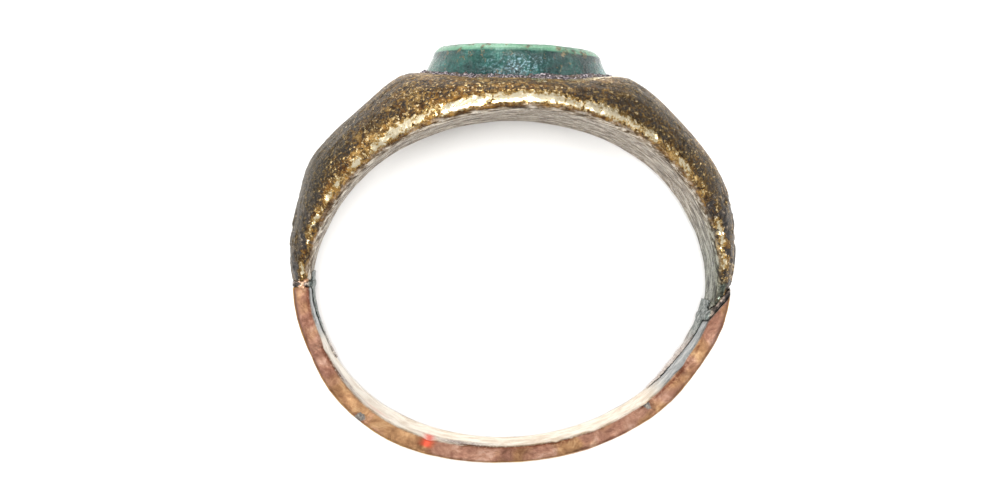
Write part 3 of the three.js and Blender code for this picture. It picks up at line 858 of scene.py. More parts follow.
        # Grey smears and stains lie over all of it, and are duller and less of a metal.
        grey = add(tree, "ValToRGB", {"Fac": fine}, stops=[
            (0.36, "#262A2A"), (0.5, "#525452"), (0.66, "#8A8678")])
        fringes = add(tree, "TexNoise", {
            "Vector": mix.place, "Scale": per_metre(self.fringe), "Detail": 4.0, "Roughness": 0.7})
        ragged = add(tree, "Math", (
            add(tree, "Math", (fringes, 0.5), operation="SUBTRACT"), 1.8), operation="MULTIPLY")
        stained = add(tree, "MapRange", (
            add(tree, "Math", (stain, ragged)), 0.36, 0.58), interpolation_type="SMOOTHSTEP")
        colour = add(tree, "Mix", (
            add(tree, "Math", (stained, 0.85), operation="MULTIPLY"), colour, grey), data_type="RGBA")
        rough = add(tree, "Math", (
            add(tree, "MapRange", (
                add(tree, "Math", (soft, add(tree, "Math", (fine, 0.4), operation="MULTIPLY"))), 0.5, 0.9,
                0.32, 0.46), interpolation_type="SMOOTHSTEP"),
            add(tree, "Math", (
                add(tree, "Math", (stained, edge), operation="MAXIMUM"), 0.15), operation="MULTIPLY")))
        metal = add(tree, "MapRange", (stained, 0.0, 1.0, 1.0, 0.3), interpolation_type="SMOOTHSTEP")
        mix.set(
            Base_Color=colour,
            Metallic=add(tree, "Math", (
                metal, add(tree, "Math", (edge, 0.35), operation="MULTIPLY")), operation="SUBTRACT"),
            Roughness=rough)
        mix.bump([(soft, 0.05), (tone, 0.03), (scratches, 0.015), (fine, 0.015)])
        return mix.material


@dataclass(frozen=True)
class DullSolder:
    """Old soft solder: pale grey and beige grains over lead grey, smooth and blue-grey where it ran down
    the inside, and dark at the very joint.

    Attributes:
        lump: Width of its lumps in millimetres.
        grit: Width of its grains in millimetres.
    """

    lump: float = 0.35
    grit: float = 0.1

    def make(self) -> bpy.types.Material:
        """Makes the material."""
        mix = Recipe("oxidised_soft_solder")
        tree = mix.tree
        lumps = add(tree, "TexNoise", {
            "Vector": mix.place, "Scale": per_metre(self.lump), "Detail": 4.0, "Roughness": 0.6})
        grit = add(tree, "TexNoise", {
            "Vector": mix.place, "Scale": per_metre(self.grit), "Detail": 3.0, "Roughness": 0.6})
        run = add(tree, "Attribute", attribute_name="run").outputs["Fac"]
        warm = add(tree, "Attribute", attribute_name="warm").outputs["Fac"]
        tone = add(tree, "Math", (
            add(tree, "Math", (lumps, 0.5), operation="MULTIPLY"),
            add(tree, "Math", (grit, 0.5), operation="MULTIPLY")))

        # Beige at the seam, lead grey where it ran inside, dusky outside, and fading out at the run's tip.
        seam = add(tree, "ValToRGB", {"Fac": tone}, stops=[
            (0.4, "#2C2622"), (0.47, "#6A6055"), (0.53, "#9C917F"), (0.62, "#D6CCBA")])
        skin = add(tree, "ValToRGB", {"Fac": tone}, stops=[
            (0.38, "#3A403D"), (0.5, "#666D69"), (0.62, "#969B94")])
        colour = add(tree, "Mix", (run, seam, skin), data_type="RGBA")
        mauve = add(tree, "ValToRGB", {"Fac": lumps}, stops=[
            (0.4, "#1E1A17"), (0.48, "#4C423B"), (0.56, "#85766B"), (0.64, "#B5A698")])
        colour = add(tree, "Mix", (
            add(tree, "Attribute", attribute_name="dusky").outputs["Fac"], colour, mauve), data_type="RGBA")
        colour = add(tree, "Mix", (
            add(tree, "Attribute", attribute_name="fade").outputs["Fac"], colour,
            add(tree, "ValToRGB", {"Fac": tone}, stops=[(0.4, "#B3A49C"), (0.6, "#DCD0C6")])
        ), data_type="RGBA")
        colour = add(tree, "Mix", (
            warm, colour,
            add(tree, "ValToRGB", {"Fac": tone}, stops=[
                (0.4, "#6A3E26"), (0.5, "#C2936E"), (0.6, "#F4DCC2")])), data_type="RGBA")
        mix.set(
            Base_Color=colour, Metallic=0.6,
            Roughness=add(tree, "MapRange", (tone, 0.4, 0.6, 0.6, 0.32), interpolation_type="SMOOTHSTEP"))
        mix.bump([(lumps, 0.05), (grit, 0.03)])
        return mix.material


class Joint(Enum):
    """The two joints: each one's angle round the hoop at the hole, and its turn for each mm outwards."""

    LEFT = (-92.0, 0.0)
    RIGHT = (100.0, -5.5)

    def near(self, skin: Skin, reach: float) -> Array:
        """How near points are to the joint.

        Args:
            skin: The skin that the points lie on.
            reach: The distance at which nearness has fallen to about a third, in degrees.

        Returns:
            From 0 to 1 for each point.
        """
        middle, slant = self.value
        wall = 1.7
        return hump(skin.angle - slant * np.clip(skin.over_hole, 0.0, wall), middle, reach)


@dataclass
class BronzeHoop:
    """The ancient cast part: bezel and shoulders.

    Attributes:
        voxel: Size of the mesh's faces.
        unevenness: Height of the slow swells of the worn casting.
        pitting: Depth of the corrosion pits.
        crust_height: Height of the crust's islands near the joints.
        streak_depth: Depth of the streaks inside the hoop.
        scallop: Depth of the hollows along the right shoulder's back edge.
        left_taper: How much the left end is filed down to meet the strip.
        right_taper: The same for the right end.
        Lengths are in millimetres.
    """

    voxel: float = 0.091
    unevenness: float = 0.05
    pitting: float = 0.035
    crust_height: float = 0.075
    streak_depth: float = 0.02
    scallop: float = 0.22
    left_taper: float = 0.04
    right_taper: float = 0.02

    def sculpt(self, mesh: bpy.types.Mesh) -> None:
        """Wears and pits the casting, and paints what its material reads.

        Args:
            mesh: The fine mesh in standing millimetres.
        """
        skin = MeshWork.read(mesh)
        points, angle, along = skin.points, skin.angle, skin.along
        inside = smooth_step(-0.2, -0.75, skin.outward)
        near_joint = np.maximum(smooth_step(59, 68, angle), smooth_step(-64, -80, angle))
        crust = near_joint * (1 - inside)

        move = self.unevenness * Grain(11).layered(points, 2.4, 2) * (1 - 0.6 * inside)
        grain = Grain(12).layered(points, 0.42, 3, 0.6)
        move -= self.pitting * smooth_step(0.15, 0.9, grain) * (1 - inside)
        islands = smooth_step(0.05, 0.5, Grain(13).layered(points, 0.7, 3, 0.55))
        move += self.crust_height * islands * crust
        stretched = skin.hoop_place * np.array([0.35, 3.5, 1.0])
        move += self.streak_depth * Grain(14).layered(stretched, 0.8, 3, 0.6) * inside
        scallop_turn = 9.0
        wave = Grain(15).layered(np.stack([angle / scallop_turn, along * 0, along * 0], axis=1), 1.0, 2)
        back = smooth_step(0.55, 0.95, -skin.normals[:, 2])
        move += self.scallop * wave * smooth_step(20, 45, angle) * back
        filed = self.left_taper * smooth_step(-86.5, -91.0, angle)
        filed = filed + self.right_taper * smooth_step(94.0, 97.5, angle)
        move -= smooth_step(0.1, 0.7, skin.outward) * filed
        MeshWork.write(mesh, points + skin.normals * move[:, None])

        # Polish is rubbed bare metal plus a painted highlight: on the arris where the flanks face the front,
        # on the knuckle and round the seat.
        front = np.maximum(skin.normals[:, 2], 0)
        facing = np.abs(skin.normals[:, 2])
        over = skin.over_hole
        thin = 1 - 0.35 * smooth_step(20, 80, np.abs(angle))
        flank = smooth_step(0.35, 0.8, facing) * (0.6 + 0.4 * np.sign(front))
        arris_wear_and_highlight = hump(over, 0.6 * thin, 0.27 * thin) * flank
        whole = 1.25 - 0.75 * smooth_step(24, 60, np.abs(angle + 4.0))
        broken = np.clip(whole + 1.1 * Grain(16).layered(skin.hoop_place, 0.7, 3), 0.05, 1.3)
        # The knuckle gets a painted highlight of cream specks.
        knuckle_highlight = 0.32 * hump(angle, 57.0, 7.0) * hump(along, 0.2, 1.3) * smooth_step(0.4, 0.8, skin.outward)
        polish_and_highlight = np.clip(arris_wear_and_highlight * broken + knuckle_highlight + self.seat_rim_and_highlight(points), 0, 1.2)
        under = smooth_step(0.4, 0.2, over / thin) * flank * smooth_step(78, 64, angle)
        MeshWork.paint(mesh, "brown", 0.75 * under)
        MeshWork.paint(mesh, "polish_and_highlight", polish_and_highlight)
        crusted = smooth_step(88.5, 91.0, angle) * smooth_step(1.15, 0.75, over)
        crusted = crusted * smooth_step(-0.3, 0.2, along)
        turned_away = (1 - inside) * smooth_step(0.75, 0.4, skin.outward)
        MeshWork.paint(mesh, "verdigris", crusted * turned_away)
        MeshWork.paint(mesh, "inner", inside)
        MeshWork.paint(mesh, "crust", crust)
        MeshWork.paint(mesh, "tone", self.tone(skin))
        MeshWork.paint(mesh, "green", smooth_step(58, 88, angle))
        MeshWork.paint(mesh, "hoop_place", skin.hoop_place)

    @staticmethod
    def tone(skin: Skin) -> Array:
        """Where the bronze is darker or brighter than elsewhere; the brighter knuckle is a painted
        highlight.

        Args:
            skin: The hoop's skin.

        Returns:
            Below 0 where it is darker and above 0 where it is brighter, for each point.
        """
        angle, outside = skin.angle, smooth_step(0.2, 0.7, skin.outward)
        dark_crown = -1.25 * hump(angle, -68.0, 28.0) * outside
        flank = smooth_step(0.05, 0.5, skin.normals[:, 2]) * smooth_step(0.45, 0.85, skin.over_hole)
        dark_right = (-0.5 * smooth_step(0, 30, angle) - 0.5 * hump(angle, 52.0, 26.0)) * flank
        # The knuckle is lifted by a painted highlight.
        knuckle_highlight_lift = 0.6 * hump(angle, 56.0, 10.0) * hump(skin.along, 0.4, 3.0) * outside
        dark_left = -0.6 * hump(angle, -71.0, 5.0) * smooth_step(0.7, 1.3, skin.over_hole) * flank
        return dark_crown + dark_right + knuckle_highlight_lift + dark_left

    @staticmethod
    def seat_rim_and_highlight(points: Array) -> Array:
        """How near each point is to the rubbed rim round the glass's seat, with its painted highlight line
        and halo.

        Args:
            points: Places in standing millimetres.

        Returns:
            From 0 to 1 for each point.
        """
        half_length, half_width = 4.55, 3.78
        pointed, full, full_turn = 1.8, 2.14, 135.0
        cement, swing, widest_turn = 0.3, 0.12, 45.0
        across, along = points[:, 0] - GLASS_SHIFT, points[:, 2]
        turn = np.arctan2(along / half_width, across / half_length)
        fullness = pointed + (full - pointed) * np.maximum(np.cos(turn - math.radians(full_turn)), 0) ** 2
        scaled = np.abs(across / half_length) ** fullness + np.abs(along / half_width) ** fullness
        outside = (1 - scaled ** (-1 / fullness)) * np.hypot(across, along)
        edge = outside - (cement + swing * np.cos(2 * (turn - math.radians(widest_turn))))
        patchy = np.clip(0.65 + 1.2 * Grain(17).layered(points, 1.1, 3), 0.05, 1.15)
        line = hump(edge, 0.12, 0.1)
        halo = 0.72 * hump(np.maximum(edge, 0), 0.1, 0.55) * patchy
        rubbed = np.clip(np.maximum(line * (0.25 + 0.6 * patchy), halo), 0, 1)
        return rubbed * smooth_step(8.0, 8.6, points[:, 1])

    def build(self) -> bpy.types.Object:
        """Makes the piece that stands for the hoop."""
        mesh = MeshWork.fine_copy("bronze_hoop", self.voxel, 2)
        self.sculpt(mesh)
        return MeshWork.piece(mesh, "ancient_hoop", PatinatedBronze().make(), "bronze", "bronze_hoop")


@dataclass(frozen=True)
class Stroke:
    """A round-bottomed cut of the carving that runs from one place to another.

    Attributes:
        start: Right, up, radius and depth where it starts, in millimetres on the face.
        end: The same where it ends.
    """

    start: tuple[float, float, float, float]
    end: tuple[float, float, float, float]

    def depth(self, right: Array, up: Array) -> Array:
        """Depth of the cut.

        Args:
            right: Places across the face in millimetres.
            up: Places up the face in millimetres.

        Returns:
            One depth for each place, 0 outside the cut.
        """
        run, rise = self.end[0] - self.start[0], self.end[1] - self.start[1]
        ahead = (right - self.start[0]) * run + (up - self.start[1]) * rise
        share = np.clip(ahead / (run * run + rise * rise), 0, 1)
        off = np.hypot(right - self.start[0] - run * share, up - self.start[1] - rise * share)
        radius = self.start[2] + (self.end[2] - self.start[2]) * share
        deepest = self.start[3] + (self.end[3] - self.start[3]) * share
        return deepest * np.clip(1.0 - (off / radius) ** 2, 0, 1) ** 2


FIGURE = (
    Stroke((0.14, 2.46, 0.98, 0.36), (0.18, 2.36, 0.96, 0.36)),
    Stroke((0.02, 1.9, 0.44, 0.28), (0.0, 1.5, 0.5, 0.3)),
    Stroke((-0.34, 1.78, 0.5, 0.34), (-1.26, 1.36, 0.44, 0.3)),
    Stroke((-1.26, 1.26, 0.42, 0.3), (-0.2, 1.02, 0.38, 0.28)),
    Stroke((0.02, 1.5, 0.64, 0.38), (-0.14, 0.76, 0.58, 0.38)),
    Stroke((-0.22, 0.66, 0.54, 0.36), (-0.72, 0.0, 0.54, 0.34)),
    Stroke((0.4, 1.62, 0.34, 0.26), (1.4, 1.28, 0.27, 0.2)),
    Stroke((0.2, 1.06, 0.26, 0.26), (1.76, 0.76, 0.21, 0.18)),
    Stroke((0.24, 0.6, 0.2, 0.18), (1.1, 0.5, 0.18, 0.13)),
    Stroke((0.32, 0.12, 0.22, 0.2), (1.24, 0.26, 0.19, 0.16)),
    Stroke((-0.7, 0.0, 0.52, 0.33), (-0.98, -0.6, 0.42, 0.28)),
    Stroke((-0.98, -0.6, 0.4, 0.28), (-1.08, -2.2, 0.28, 0.16)),
    Stroke((-0.06, -0.2, 0.44, 0.24), (0.12, -1.04, 0.38, 0.26)),
    Stroke((0.14, -1.04, 0.36, 0.26), (0.42, -2.1, 0.26, 0.14)),
    Stroke((1.06, -0.36, 0.34, 0.2), (0.86, -1.16, 0.22, 0.14)),
    Stroke((-1.4, -2.6, 0.2, 0.07), (1.1, -2.58, 0.2, 0.07)),
)
STROKE_BLEND = 4.0


@dataclass
class IntaglioGlass:
    """The moulded glass with its sunk figure.

    Attributes:
        voxel: Size of the mesh's faces.
        length: The glass's length across the ring.
        fall: How much lower the face is at the right end than at the left.
        face_middle: Middle of the flat face across the ring.
        face_length: Half of the face's length.
        face_width: Half of the face's width along the finger.
        unevenness: Height of the slow swells of the moulded face.
        grit: Height of the face's fine roughness.
        pocks: Across, along and radius of each burst bubble on the face.
        Lengths are in millimetres.
    """

    voxel: float = 0.05
    length: float = 9.1
    fall: float = 0.06
    face_middle: float = -0.04
    face_length: float = 3.49
    face_width: float = 3.13
    unevenness: float = 0.035
    grit: float = 0.008
    pocks: tuple[tuple[float, float, float], ...] = ((0.02, 3.0, 0.26), (1.35, 2.6, 0.24), (2.5, 2.3, 0.28),
                                                     (-2.2, 2.1, 0.2), (-0.9, -2.7, 0.22))

    def carving(self, across: Array, along: Array) -> Array:
        """Depth of the figure.

        Args:
            across: Places across the ring in millimetres.
            along: Places along the finger in millimetres.

        Returns:
            One depth for each place.
        """
        right, up = -along, -across
        waver = np.stack([right, up, right * 0], axis=1)
        tremble = 0.05
        right = right + tremble * Grain(24).layered(waver, 0.7, 2)
        up = up + tremble * Grain(25).layered(waver, 0.7, 2)
        return sum(stroke.depth(right, up) ** STROKE_BLEND for stroke in FIGURE) ** (1 / STROKE_BLEND)

    def sculpt(self, mesh: bpy.types.Mesh) -> None:
        """Cuts the figure sharp and wears the glass, and paints what its material reads.

        Args:
            mesh: The fine mesh in standing millimetres.
        """
        skin = MeshWork.read(mesh)
        points = skin.points
        x, height, z = points[:, 0], points[:, 1].copy(), points[:, 2]
        level = height.max() - self.fall * (1 + 2 * x / self.length) / 2
        oval = np.hypot((x - self.face_middle) / self.face_length, z / self.face_width)
        on_face = smooth_step(1.0, 0.93, oval) * (height > level - 0.7)
        depth = self.carving(x, z)
        points[:, 1] = height + (level - depth - height) * on_face
        move = self.unevenness * Grain(21).layered(points, 1.6, 2)
        move += self.grit * Grain(22).layered(points, 0.2, 2)
        MeshWork.write(mesh, points + skin.normals * (move * (1 - on_face))[:, None]
                       + np.array([0.0, 1.0, 0.0]) * (move * on_face)[:, None])

        step = 0.06
        outline_half = (4.5, 3.72)
        slope = np.hypot(self.carving(x + step, z) - depth, self.carving(x, z + step) - depth) / step
        top = height.max()
        outline = np.hypot((x - GLASS_SHIFT) / outline_half[0], z / outline_half[1])
        stain = np.max([0.9 * hump(x, 3.0, 0.45) * hump(z, 0.25, 0.9),
                        0.8 * hump(x, 2.6, 0.6) * hump(z, -1.25, 0.35),
                        0.8 * hump(x, 3.95, 0.14) * hump(z, 0.0, 0.45)], axis=0)
        weathered = 0.3 * smooth_step(top - 0.8, top - 0.5, height) * smooth_step(0.6, 1.0, oval)
        weathered = weathered * smooth_step(-1.5, 2.0, z + 0.6 * x)
        foot = 0.25 * smooth_step(0.93, 1.0, outline) * smooth_step(top - 1.5, top - 1.8, height)
        ragged = 0.05 * Grain(26).layered(points, 0.5, 3)
        face = smooth_step(1.14, 1.04, oval + 0.4 * ragged)
        rings = [hump(np.hypot(x - across, z - along), radius * 0.6, 0.16)
                 for across, along, radius in self.pocks]
        # Painted shade along the top of the head.
        head_top_shade = 0.8 * hump(x, -3.0, 0.16) * hump(z, -0.2, 0.6)
        # Light and dark creases beside the figure are painted highlight and painted shade.
        squeezed = np.stack([x * 3.0, x * 0, z], axis=1)
        crease_highlights = smooth_step(0.25, 0.5, Grain(29).layered(squeezed, 1.0, 2))
        crease_shade = smooth_step(-0.2, -0.5, Grain(30).layered(squeezed, 1.0, 2))
        beside = hump(x, -0.9, 0.9) * hump(z, -1.2, 0.8)
        border = hump(outline, 1.0, 0.022) * smooth_step(top - 1.0, top - 0.8, height)
        front_wall = hump(x, -0.2, 1.3) * smooth_step(1.0, 2.4, z)
        front_wall = front_wall * smooth_step(top - 0.45, top - 0.85, height)
        end_wall = smooth_step(3.2, 4.2, x) * smooth_step(top - 0.6, top - 1.0, height)
        patchy = np.clip(0.7 + 0.8 * Grain(27).layered(points, 0.8, 2), 0, 1)
        MeshWork.paint(mesh, "face", face)
        MeshWork.paint(mesh, "shallow", smooth_step(0.86, 1.06, oval + 2.0 * ragged) * face)
        MeshWork.paint(mesh, "bevel", smooth_step(0.34, 0.58, skin.normals[:, 1] + ragged))
        MeshWork.paint(mesh, "rim", border)
        MeshWork.paint(mesh, "hollow", smooth_step(0.03, 0.2, depth))
        # The steep lips of the shallow cuts get a painted white highlight.
        lip_highlight = smooth_step(0.35, 0.8, slope) * smooth_step(0.3, 0.06, depth)
        MeshWork.paint(mesh, "lip_highlight", np.maximum(lip_highlight * beside, 0.7 * crease_highlights * beside))
        MeshWork.paint(mesh, "dirt", np.clip(0.1 + stain + foot + weathered, 0, 1))
        MeshWork.paint(mesh, "blue", smooth_step(-1.0, 3.2, x * 0.6 - z))
        MeshWork.paint(mesh, "spot", 0.7 * hump(x, 0.75, 0.55) * hump(z + 0.3 * x, -0.88, 0.34) * patchy)
        # Painted blue-white reflection on the front and end walls.
        MeshWork.paint(mesh, "pitted_reflection", np.maximum(front_wall, end_wall) * patchy)
        MeshWork.paint(mesh, "pocks_and_shade", np.clip(sum(rings) + head_top_shade + 0.5 * crease_shade * beside, 0, 1))

    def build(self) -> bpy.types.Object:
        """Makes the piece that stands for the glass."""
        mesh = MeshWork.fine_copy("glass_intaglio", self.voxel, 2)
        self.sculpt(mesh)
        return MeshWork.piece(mesh, "intaglio", WeatheredGlass().make(), "green_glass", "glass_intaglio")


@dataclass
class SettingCement:
    """The dark paste between glass and bronze.

    Attributes:
        voxel: Size of the mesh's faces in millimetres.
        lumps: Height of its lumps in millimetres.
    """

    voxel: float = 0.045
    lumps: float = 0.07

    def build(self) -> bpy.types.Object:
        """Makes the piece that stands for the cement."""
        mesh = MeshWork.fine_copy("setting_cement", self.voxel, 1)
        skin = MeshWork.read(mesh)
        move = self.lumps * Grain(31).layered(skin.points, 0.28, 3, 0.7)
        MeshWork.write(mesh, skin.points + skin.normals * move[:, None])
        return MeshWork.piece(mesh, "cement_ring", SettingCrust().make(), "cement", "setting_cement")


@dataclass
class ReplacementShank:
    """The newer strip that closes the hoop.

    Attributes:
        voxel: Size of the mesh's faces.
        hammering: Depth of the facets along the sawn edges.
        unevenness: Height of the slow swells of the whole strip.
        notches: Angle round the hoop, width in degrees and depth of each notch in the front edge.
        smears: Angle, place along the finger, half-width and strength at both ends of each grey smear.
        Lengths are in millimetres and angles are clockwise from the bezel, -180 to 180.
    """

    voxel: float = 0.07
    hammering: float = 0.03
    unevenness: float = 0.02
    notches: tuple[tuple[float, float, float], ...] = (
        (-110.9, 1.5, 0.12), (-152.8, 1.6, 0.2), (132.5, 1.3, 0.12), (116.3, 2.0, 0.14), (164.2, 1.2, 0.1),
        (151.3, 1.0, 0.06))
    smears: tuple[tuple[tuple[float, float, float, float], tuple[float, float, float, float]], ...] = (
        ((104.0, 1.4, 0.16, 0.7), (107.5, 0.5, 0.25, 0.9)),
        ((107.5, 0.5, 0.25, 0.9), (111.5, -0.4, 0.34, 1.0)),
        ((110.0, -0.6, 0.2, 0.8), (112.0, -0.1, 0.2, 0.8)),
        ((114.0, 0.5, 0.25, 0.5), (117.0, 0.1, 0.3, 0.6)),
        ((115.0, -0.2, 0.6, 0.6), (123.0, -0.9, 0.95, 0.7)),
        ((121.0, -0.2, 0.3, 0.6), (126.0, -1.4, 0.3, 0.7)),
        ((124.0, 1.1, 0.1, 0.8), (125.0, 1.2, 0.1, 0.8)),
        ((136.0, -0.4, 0.2, 0.8), (137.0, -1.6, 0.2, 0.8)))

    def smeared(self, skin: Skin) -> Array:
        """How strongly each point is smeared with grey.

        Args:
            skin: The strip's skin.

        Returns:
            From 0 to 1 for each point.
        """
        to_mm = math.radians(1.0) * (HOLE_HALF[0] + 1.0)
        found = np.zeros(len(skin.points))
        for start, end in self.smears:
            run, rise = (end[0] - start[0]) * to_mm, end[1] - start[1]
            ahead, aside = (skin.angle - start[0]) * to_mm, skin.along - start[1]
            share = np.clip((ahead * run + aside * rise) / (run * run + rise * rise), 0, 1)
            off = np.hypot(ahead - run * share, aside - rise * share)
            half = start[2] + (end[2] - start[2]) * share
            found = np.maximum(found, (start[3] + (end[3] - start[3]) * share) * np.exp(-(off / half) ** 2))
        return found

    def sculpt(self, mesh: bpy.types.Mesh) -> None:
        """Hammers and notches the strip, and paints what its material reads.

        Args:
            mesh: The fine mesh in standing millimetres.
        """
        skin = MeshWork.read(mesh)
        points, angle, over = skin.points, skin.angle, skin.over_hole
        sideways = np.abs(skin.normals[:, 2])
        edge = smooth_step(0.55, 0.8, sideways)
        inner = smooth_step(-0.4, -0.75, skin.outward)
        facets = Grain(41).smooth(skin.hoop_place * np.array([0.8, 1.4, 1.4]))
        move = self.hammering * facets * edge
        move += self.unevenness * Grain(42).layered(points, 1.3, 3)
        for middle, width, depth in self.notches:
            cut = hump(angle, middle, width) * smooth_step(0.6, 1.9, skin.along)
            move -= depth * cut * smooth_step(0.4, -0.3, skin.outward)
        MeshWork.write(mesh, points + skin.normals * move[:, None])

        near_left = smooth_step(-128, -96, -np.abs(angle)) * (angle < 0)
        near_right = smooth_step(135, 102, angle)
        outer_third = smooth_step(0.5, 0.75, over)
        tinned = np.where(angle < 0, smooth_step(-112, -104, angle), smooth_step(132, 120, angle))
        streaky = Grain(43).layered(skin.hoop_place * np.array([0.5, 1.0, 4.0]), 0.7, 2)
        front_stain = 0.8 * hump(angle, 132.5, 1.4) * edge * smooth_step(0.6, 0.2, over)
        outer = smooth_step(0.3, 0.7, skin.outward)
        frontal = smooth_step(0.6, 1.1, skin.along)
        # A painted red reflection in the notch near -153 degrees.
        notch_reflection = hump(angle, -152.9, 1.1) ** 0.5 * smooth_step(0.8, 0.6, over) * smooth_step(-0.3, 0.1, over)
        streak = 0.55 * hump(angle, -136.0, 4.0) * hump(over, 0.12, 0.1) * frontal
        burr = 0.9 * hump(angle, -132.7, 1.5) * smooth_step(0.6, 0.8, over) * frontal
        MeshWork.paint(mesh, "edge", edge)
        # A painted pale reflection towards the bottom of the strip.
        pale_reflection = 0.7 * smooth_step(118.0, 145.0, angle) * smooth_step(179.0, 156.0, angle)
        MeshWork.paint(mesh, "pale_reflection", pale_reflection)
        MeshWork.paint(mesh, "inner", inner)
        faint_tin = 0.35 * smooth_step(-170, -120, -np.abs(angle)) * (angle < 0)
        MeshWork.paint(mesh, "tin", np.maximum(tinned, faint_tin))
        # Painted mauve shade on the strip's outer part near the joints.
        mauve = np.where(angle < 0, near_left, 0.7 * near_right)
        MeshWork.paint(mesh, "mauve", mauve * outer_third)
        seam_line = hump(over, 0.12, 0.08) * smooth_step(-0.6, 0.2, streaky) * frontal
        MeshWork.paint(mesh, "line", np.clip(seam_line + 0.35 * smooth_step(0.3, 0.7, streaky) * edge, 0, 1))
        MeshWork.paint(mesh, "copper_and_reflection", 0.9 * np.maximum(notch_reflection * frontal, streak))
        MeshWork.paint(mesh, "stain", np.max([self.smeared(skin) * outer * 0.9, front_stain, burr], axis=0))
        MeshWork.paint(mesh, "hoop_place", skin.hoop_place)

    def build(self) -> bpy.types.Object:
        """Makes the piece that stands for the strip."""
        mesh = MeshWork.fine_copy("replacement_shank", self.voxel, 1)
        self.sculpt(mesh)
        return MeshWork.piece(mesh, "brass_strip", StripBrass().make(), "shank_brass", "replacement_shank")


@dataclass
class SolderSeams:
    """The solder at both joints, with the beads that stand out of them.

    Attributes:
        voxel: Size of the mesh's faces.
        swell: How far the seam stands out past the strip.
        lumps: Height of its lumps.
        bead_lumps: Height of a bead's lumps as a share of its radius.
        faded: Angles from the bezel between which the run inside thins out to nothing.
        beads: Angle round the hoop, distance from the hole's edge, place along the finger and radius of
            each bead.
        Lengths are in millimetres.
    """

    voxel: float = 0.04
    swell: float = 0.02
    lumps: float = 0.025
    bead_lumps: float = 0.35
    faded: tuple[float, float] = (103.0, 112.0)
    beads: tuple[tuple[float, float, float, float], ...] = (
        (-91.3, 0.2, 1.62, 0.13), (-92.0, 0.34, 1.62, 0.12), (-92.7, 0.46, 1.6, 0.12),
        (-93.3, 0.3, 1.6, 0.13), (-91.7, 0.5, 1.6, 0.1), (99.0, 0.42, 1.6, 0.12))

    def seam(self, joint: Joint, material: bpy.types.Material) -> bpy.types.Object:
        """Makes the piece that stands for one seam.

        Args:
            joint: The joint that it fills.
            material: The solder.

        Returns:
            The piece.
        """
        side = joint.name.lower()
        mesh = MeshWork.fine_copy("solder_seam_" + side, self.voxel, 1)
        skin = MeshWork.read(mesh)
        near = joint.near(skin, 2.0)
        move = self.lumps * Grain(51).layered(skin.points, 0.4, 3, 0.6) + self.swell * near
        MeshWork.write(mesh, skin.points + skin.normals * move[:, None])
        MeshWork.paint(mesh, "run", smooth_step(0.1, -0.02, skin.over_hole))
        MeshWork.paint(mesh, "warm", np.zeros_like(near))
        MeshWork.paint(mesh, "dusky", smooth_step(0.0, 0.15, skin.over_hole))
        MeshWork.paint(mesh, "fade", 0.9 * smooth_step(self.faded[0], self.faded[1], np.abs(skin.angle)))
        return MeshWork.piece(mesh, "solder_" + side, material, "solder", "solder_seam_" + side)

    def bead(self, number: int, material: bpy.types.Material) -> bpy.types.Object:
        """Makes one bead.

        Args:
            number: Its place in the list.
            material: The solder.

        Returns:
            The piece.
        """
        angle, out, along, radius = self.beads[number]
        turned = math.radians(angle + HOLE_LEAN)
        edge = 1.0 / math.hypot(math.sin(turned) / HOLE_HALF[0], math.cos(turned) / HOLE_HALF[1])
        far = edge + out
        shown = math.radians(angle)
        work = bmesh.new()
        bmesh.ops.create_icosphere(work, subdivisions=4, radius=radius)
        place = Vector((far * math.sin(shown), far * math.cos(shown), along))
        bmesh.ops.translate(work, verts=work.verts, vec=place)
        mesh = bpy.data.meshes.new("bead")
        work.to_mesh(mesh)
        work.free()
        skin = MeshWork.read(mesh)
        move = self.bead_lumps * radius * Grain(52).layered(skin.points, 0.25, 3, 0.6)
        MeshWork.write(mesh, skin.points + skin.normals * move[:, None])
        for name, value in (("run", 0.0), ("warm", 1.0), ("dusky", 0.0), ("fade", 0.0)):
            MeshWork.paint(mesh, name, np.full_like(move, value))
        return MeshWork.piece(mesh, f"solder_bead_{number}", material, "solder")

    def build(self) -> None:
        """Makes both seams and their beads."""
        material = DullSolder().make()
        for joint in Joint:
            self.seam(joint, material)
        for number in range(len(self.beads)):
            self.bead(number, material)


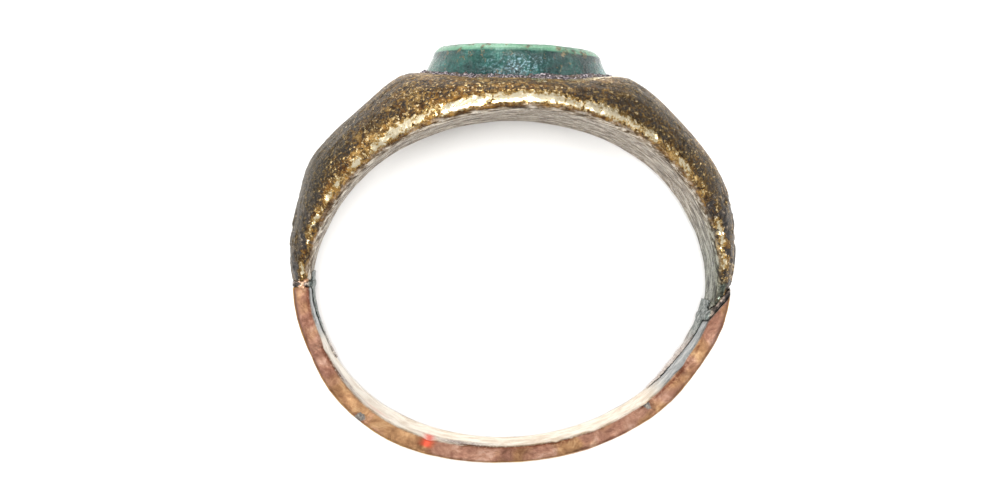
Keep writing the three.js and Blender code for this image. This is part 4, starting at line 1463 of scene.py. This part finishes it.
@dataclass
class Studio:
    """Floor, lights and camera.

    Attributes:
        distance: The camera's distance from the hole's middle in millimetres.
        yaw: How far the camera stands to the left of the finger's axis, in degrees.
        pitch: How far it stands towards the glass, in degrees.
        roll: Its turn about its own axis, in degrees.
        lens: Focal length in millimetres.
        sensor: Width of the sensor in millimetres.
        middle_pixel: Where the hole's middle shows, in pixels of the picture.
        picture: The picture's size in pixels.
        dome: Brightness of the white dome round the scene, as the ring sees it.
        floor_half: Half of the floor's side in metres.
        lamps: Name, place and side in metres, and power in watts of each lamp.
    """

    distance: float = 100.0
    yaw: float = 3.0
    pitch: float = -1.5
    roll: float = 1.05
    lens: float = 72.4
    sensor: float = 36.0
    middle_pixel: tuple[float, float] = (511.9, 278.6)
    picture: tuple[int, int] = (1000, 495)
    dome: float = 0.5
    floor_half: float = 0.6
    lamps: tuple[tuple[str, tuple[float, float, float], float, float], ...] = (
        ("lamp_above", (-0.02, -0.05, 0.3), 0.08, 0.9), ("lamp_glass", (-0.04, 0.26, 0.1), 0.12, 0.3),
        ("lamp_left", (-0.24, 0.04, 0.1), 0.1, 0.2), ("lamp_right", (0.24, 0.04, 0.1), 0.1, 0.2))

    def camera(self) -> None:
        """Makes the camera that looks down along the finger's axis."""
        data = bpy.data.cameras.new("camera")
        data.lens = self.lens
        data.sensor_width = self.sensor
        data.clip_start = 0.005
        data.shift_x = (self.picture[0] / 2 - self.middle_pixel[0]) / self.picture[0]
        data.shift_y = (self.middle_pixel[1] - self.picture[1] / 2) / self.picture[0]
        made = bpy.data.objects.new("camera", data)
        bpy.context.scene.collection.objects.link(made)
        turn = Matrix.Rotation(math.radians(-self.yaw), 4, "Y")
        turn = turn @ Matrix.Rotation(math.radians(self.pitch), 4, "X")
        turn = turn @ Matrix.Rotation(math.radians(self.roll), 4, "Z")
        standing = Matrix.Rotation(math.radians(AXES.tip), 4, "X") @ turn
        back = standing @ Vector((0, 0, self.distance))
        made.matrix_world = Matrix.Translation((Vector(AXES.middle) + back) * MM) @ standing
        bpy.context.scene.camera = made

    def floor(self) -> None:
        """Makes the pale floor."""
        work = bmesh.new()
        bmesh.ops.create_grid(work, x_segments=1, y_segments=1, size=self.floor_half)
        mesh = bpy.data.meshes.new("floor")
        work.to_mesh(mesh)
        work.free()
        made = bpy.data.objects.new("floor", mesh)
        bpy.context.scene.collection.objects.link(made)
        paint = Recipe("pale_matt_floor")
        paint.set(Base_Color="#F7F7F6", Roughness=0.9, Specular_IOR_Level=0.1)
        mesh.materials.append(paint.material)

    def lamp(self, name: str, place: tuple[float, float, float], size: float, power: float) -> None:
        """Hangs a soft square lamp that shines on the ring.

        Args:
            name: The lamp's name.
            place: Where it hangs, in metres.
            size: The side of the square in metres.
            power: Its power in watts.
        """
        data = bpy.data.lights.new(name, "AREA")
        data.size = size
        data.energy = power
        made = bpy.data.objects.new(name, data)
        made.location = place
        made.rotation_euler = (-Vector(place)).to_track_quat("-Z", "Y").to_euler()
        bpy.context.scene.collection.objects.link(made)

    def light(self) -> None:
        """Lights the ring as a product studio does, from above, both sides and the front."""
        bpy.context.scene.view_settings.view_transform = "Standard"
        world = bpy.data.worlds.new("studio")
        world.use_nodes = True
        tree = world.node_tree
        tree.nodes.clear()
        seen = add(tree, "LightPath").outputs["Is Camera Ray"]
        glow = add(tree, "MapRange", {"Value": seen, "To Min": self.dome, "To Max": 1.0})
        shell = add(tree, "Background", {"Color": "#FFFFFF", "Strength": glow})
        add(tree, "OutputWorld", {"Surface": shell})
        bpy.context.scene.world = world
        for name, place, side, power in self.lamps:
            self.lamp(name, place, side, power)

    def build(self) -> None:
        """Makes the whole studio."""
        self.camera()
        self.floor()
        self.light()


def main() -> None:
    """Builds the ring's pieces in order."""
    logging.basicConfig(level=logging.INFO, format="%(name)s: %(message)s")
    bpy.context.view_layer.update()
    Studio().build()
    for maker in (BronzeHoop(), IntaglioGlass(), SettingCement(), ReplacementShank(), SolderSeams()):
        maker.build()
        log.info("%s is done", type(maker).__name__)


if __name__ == "__main__":
    main()
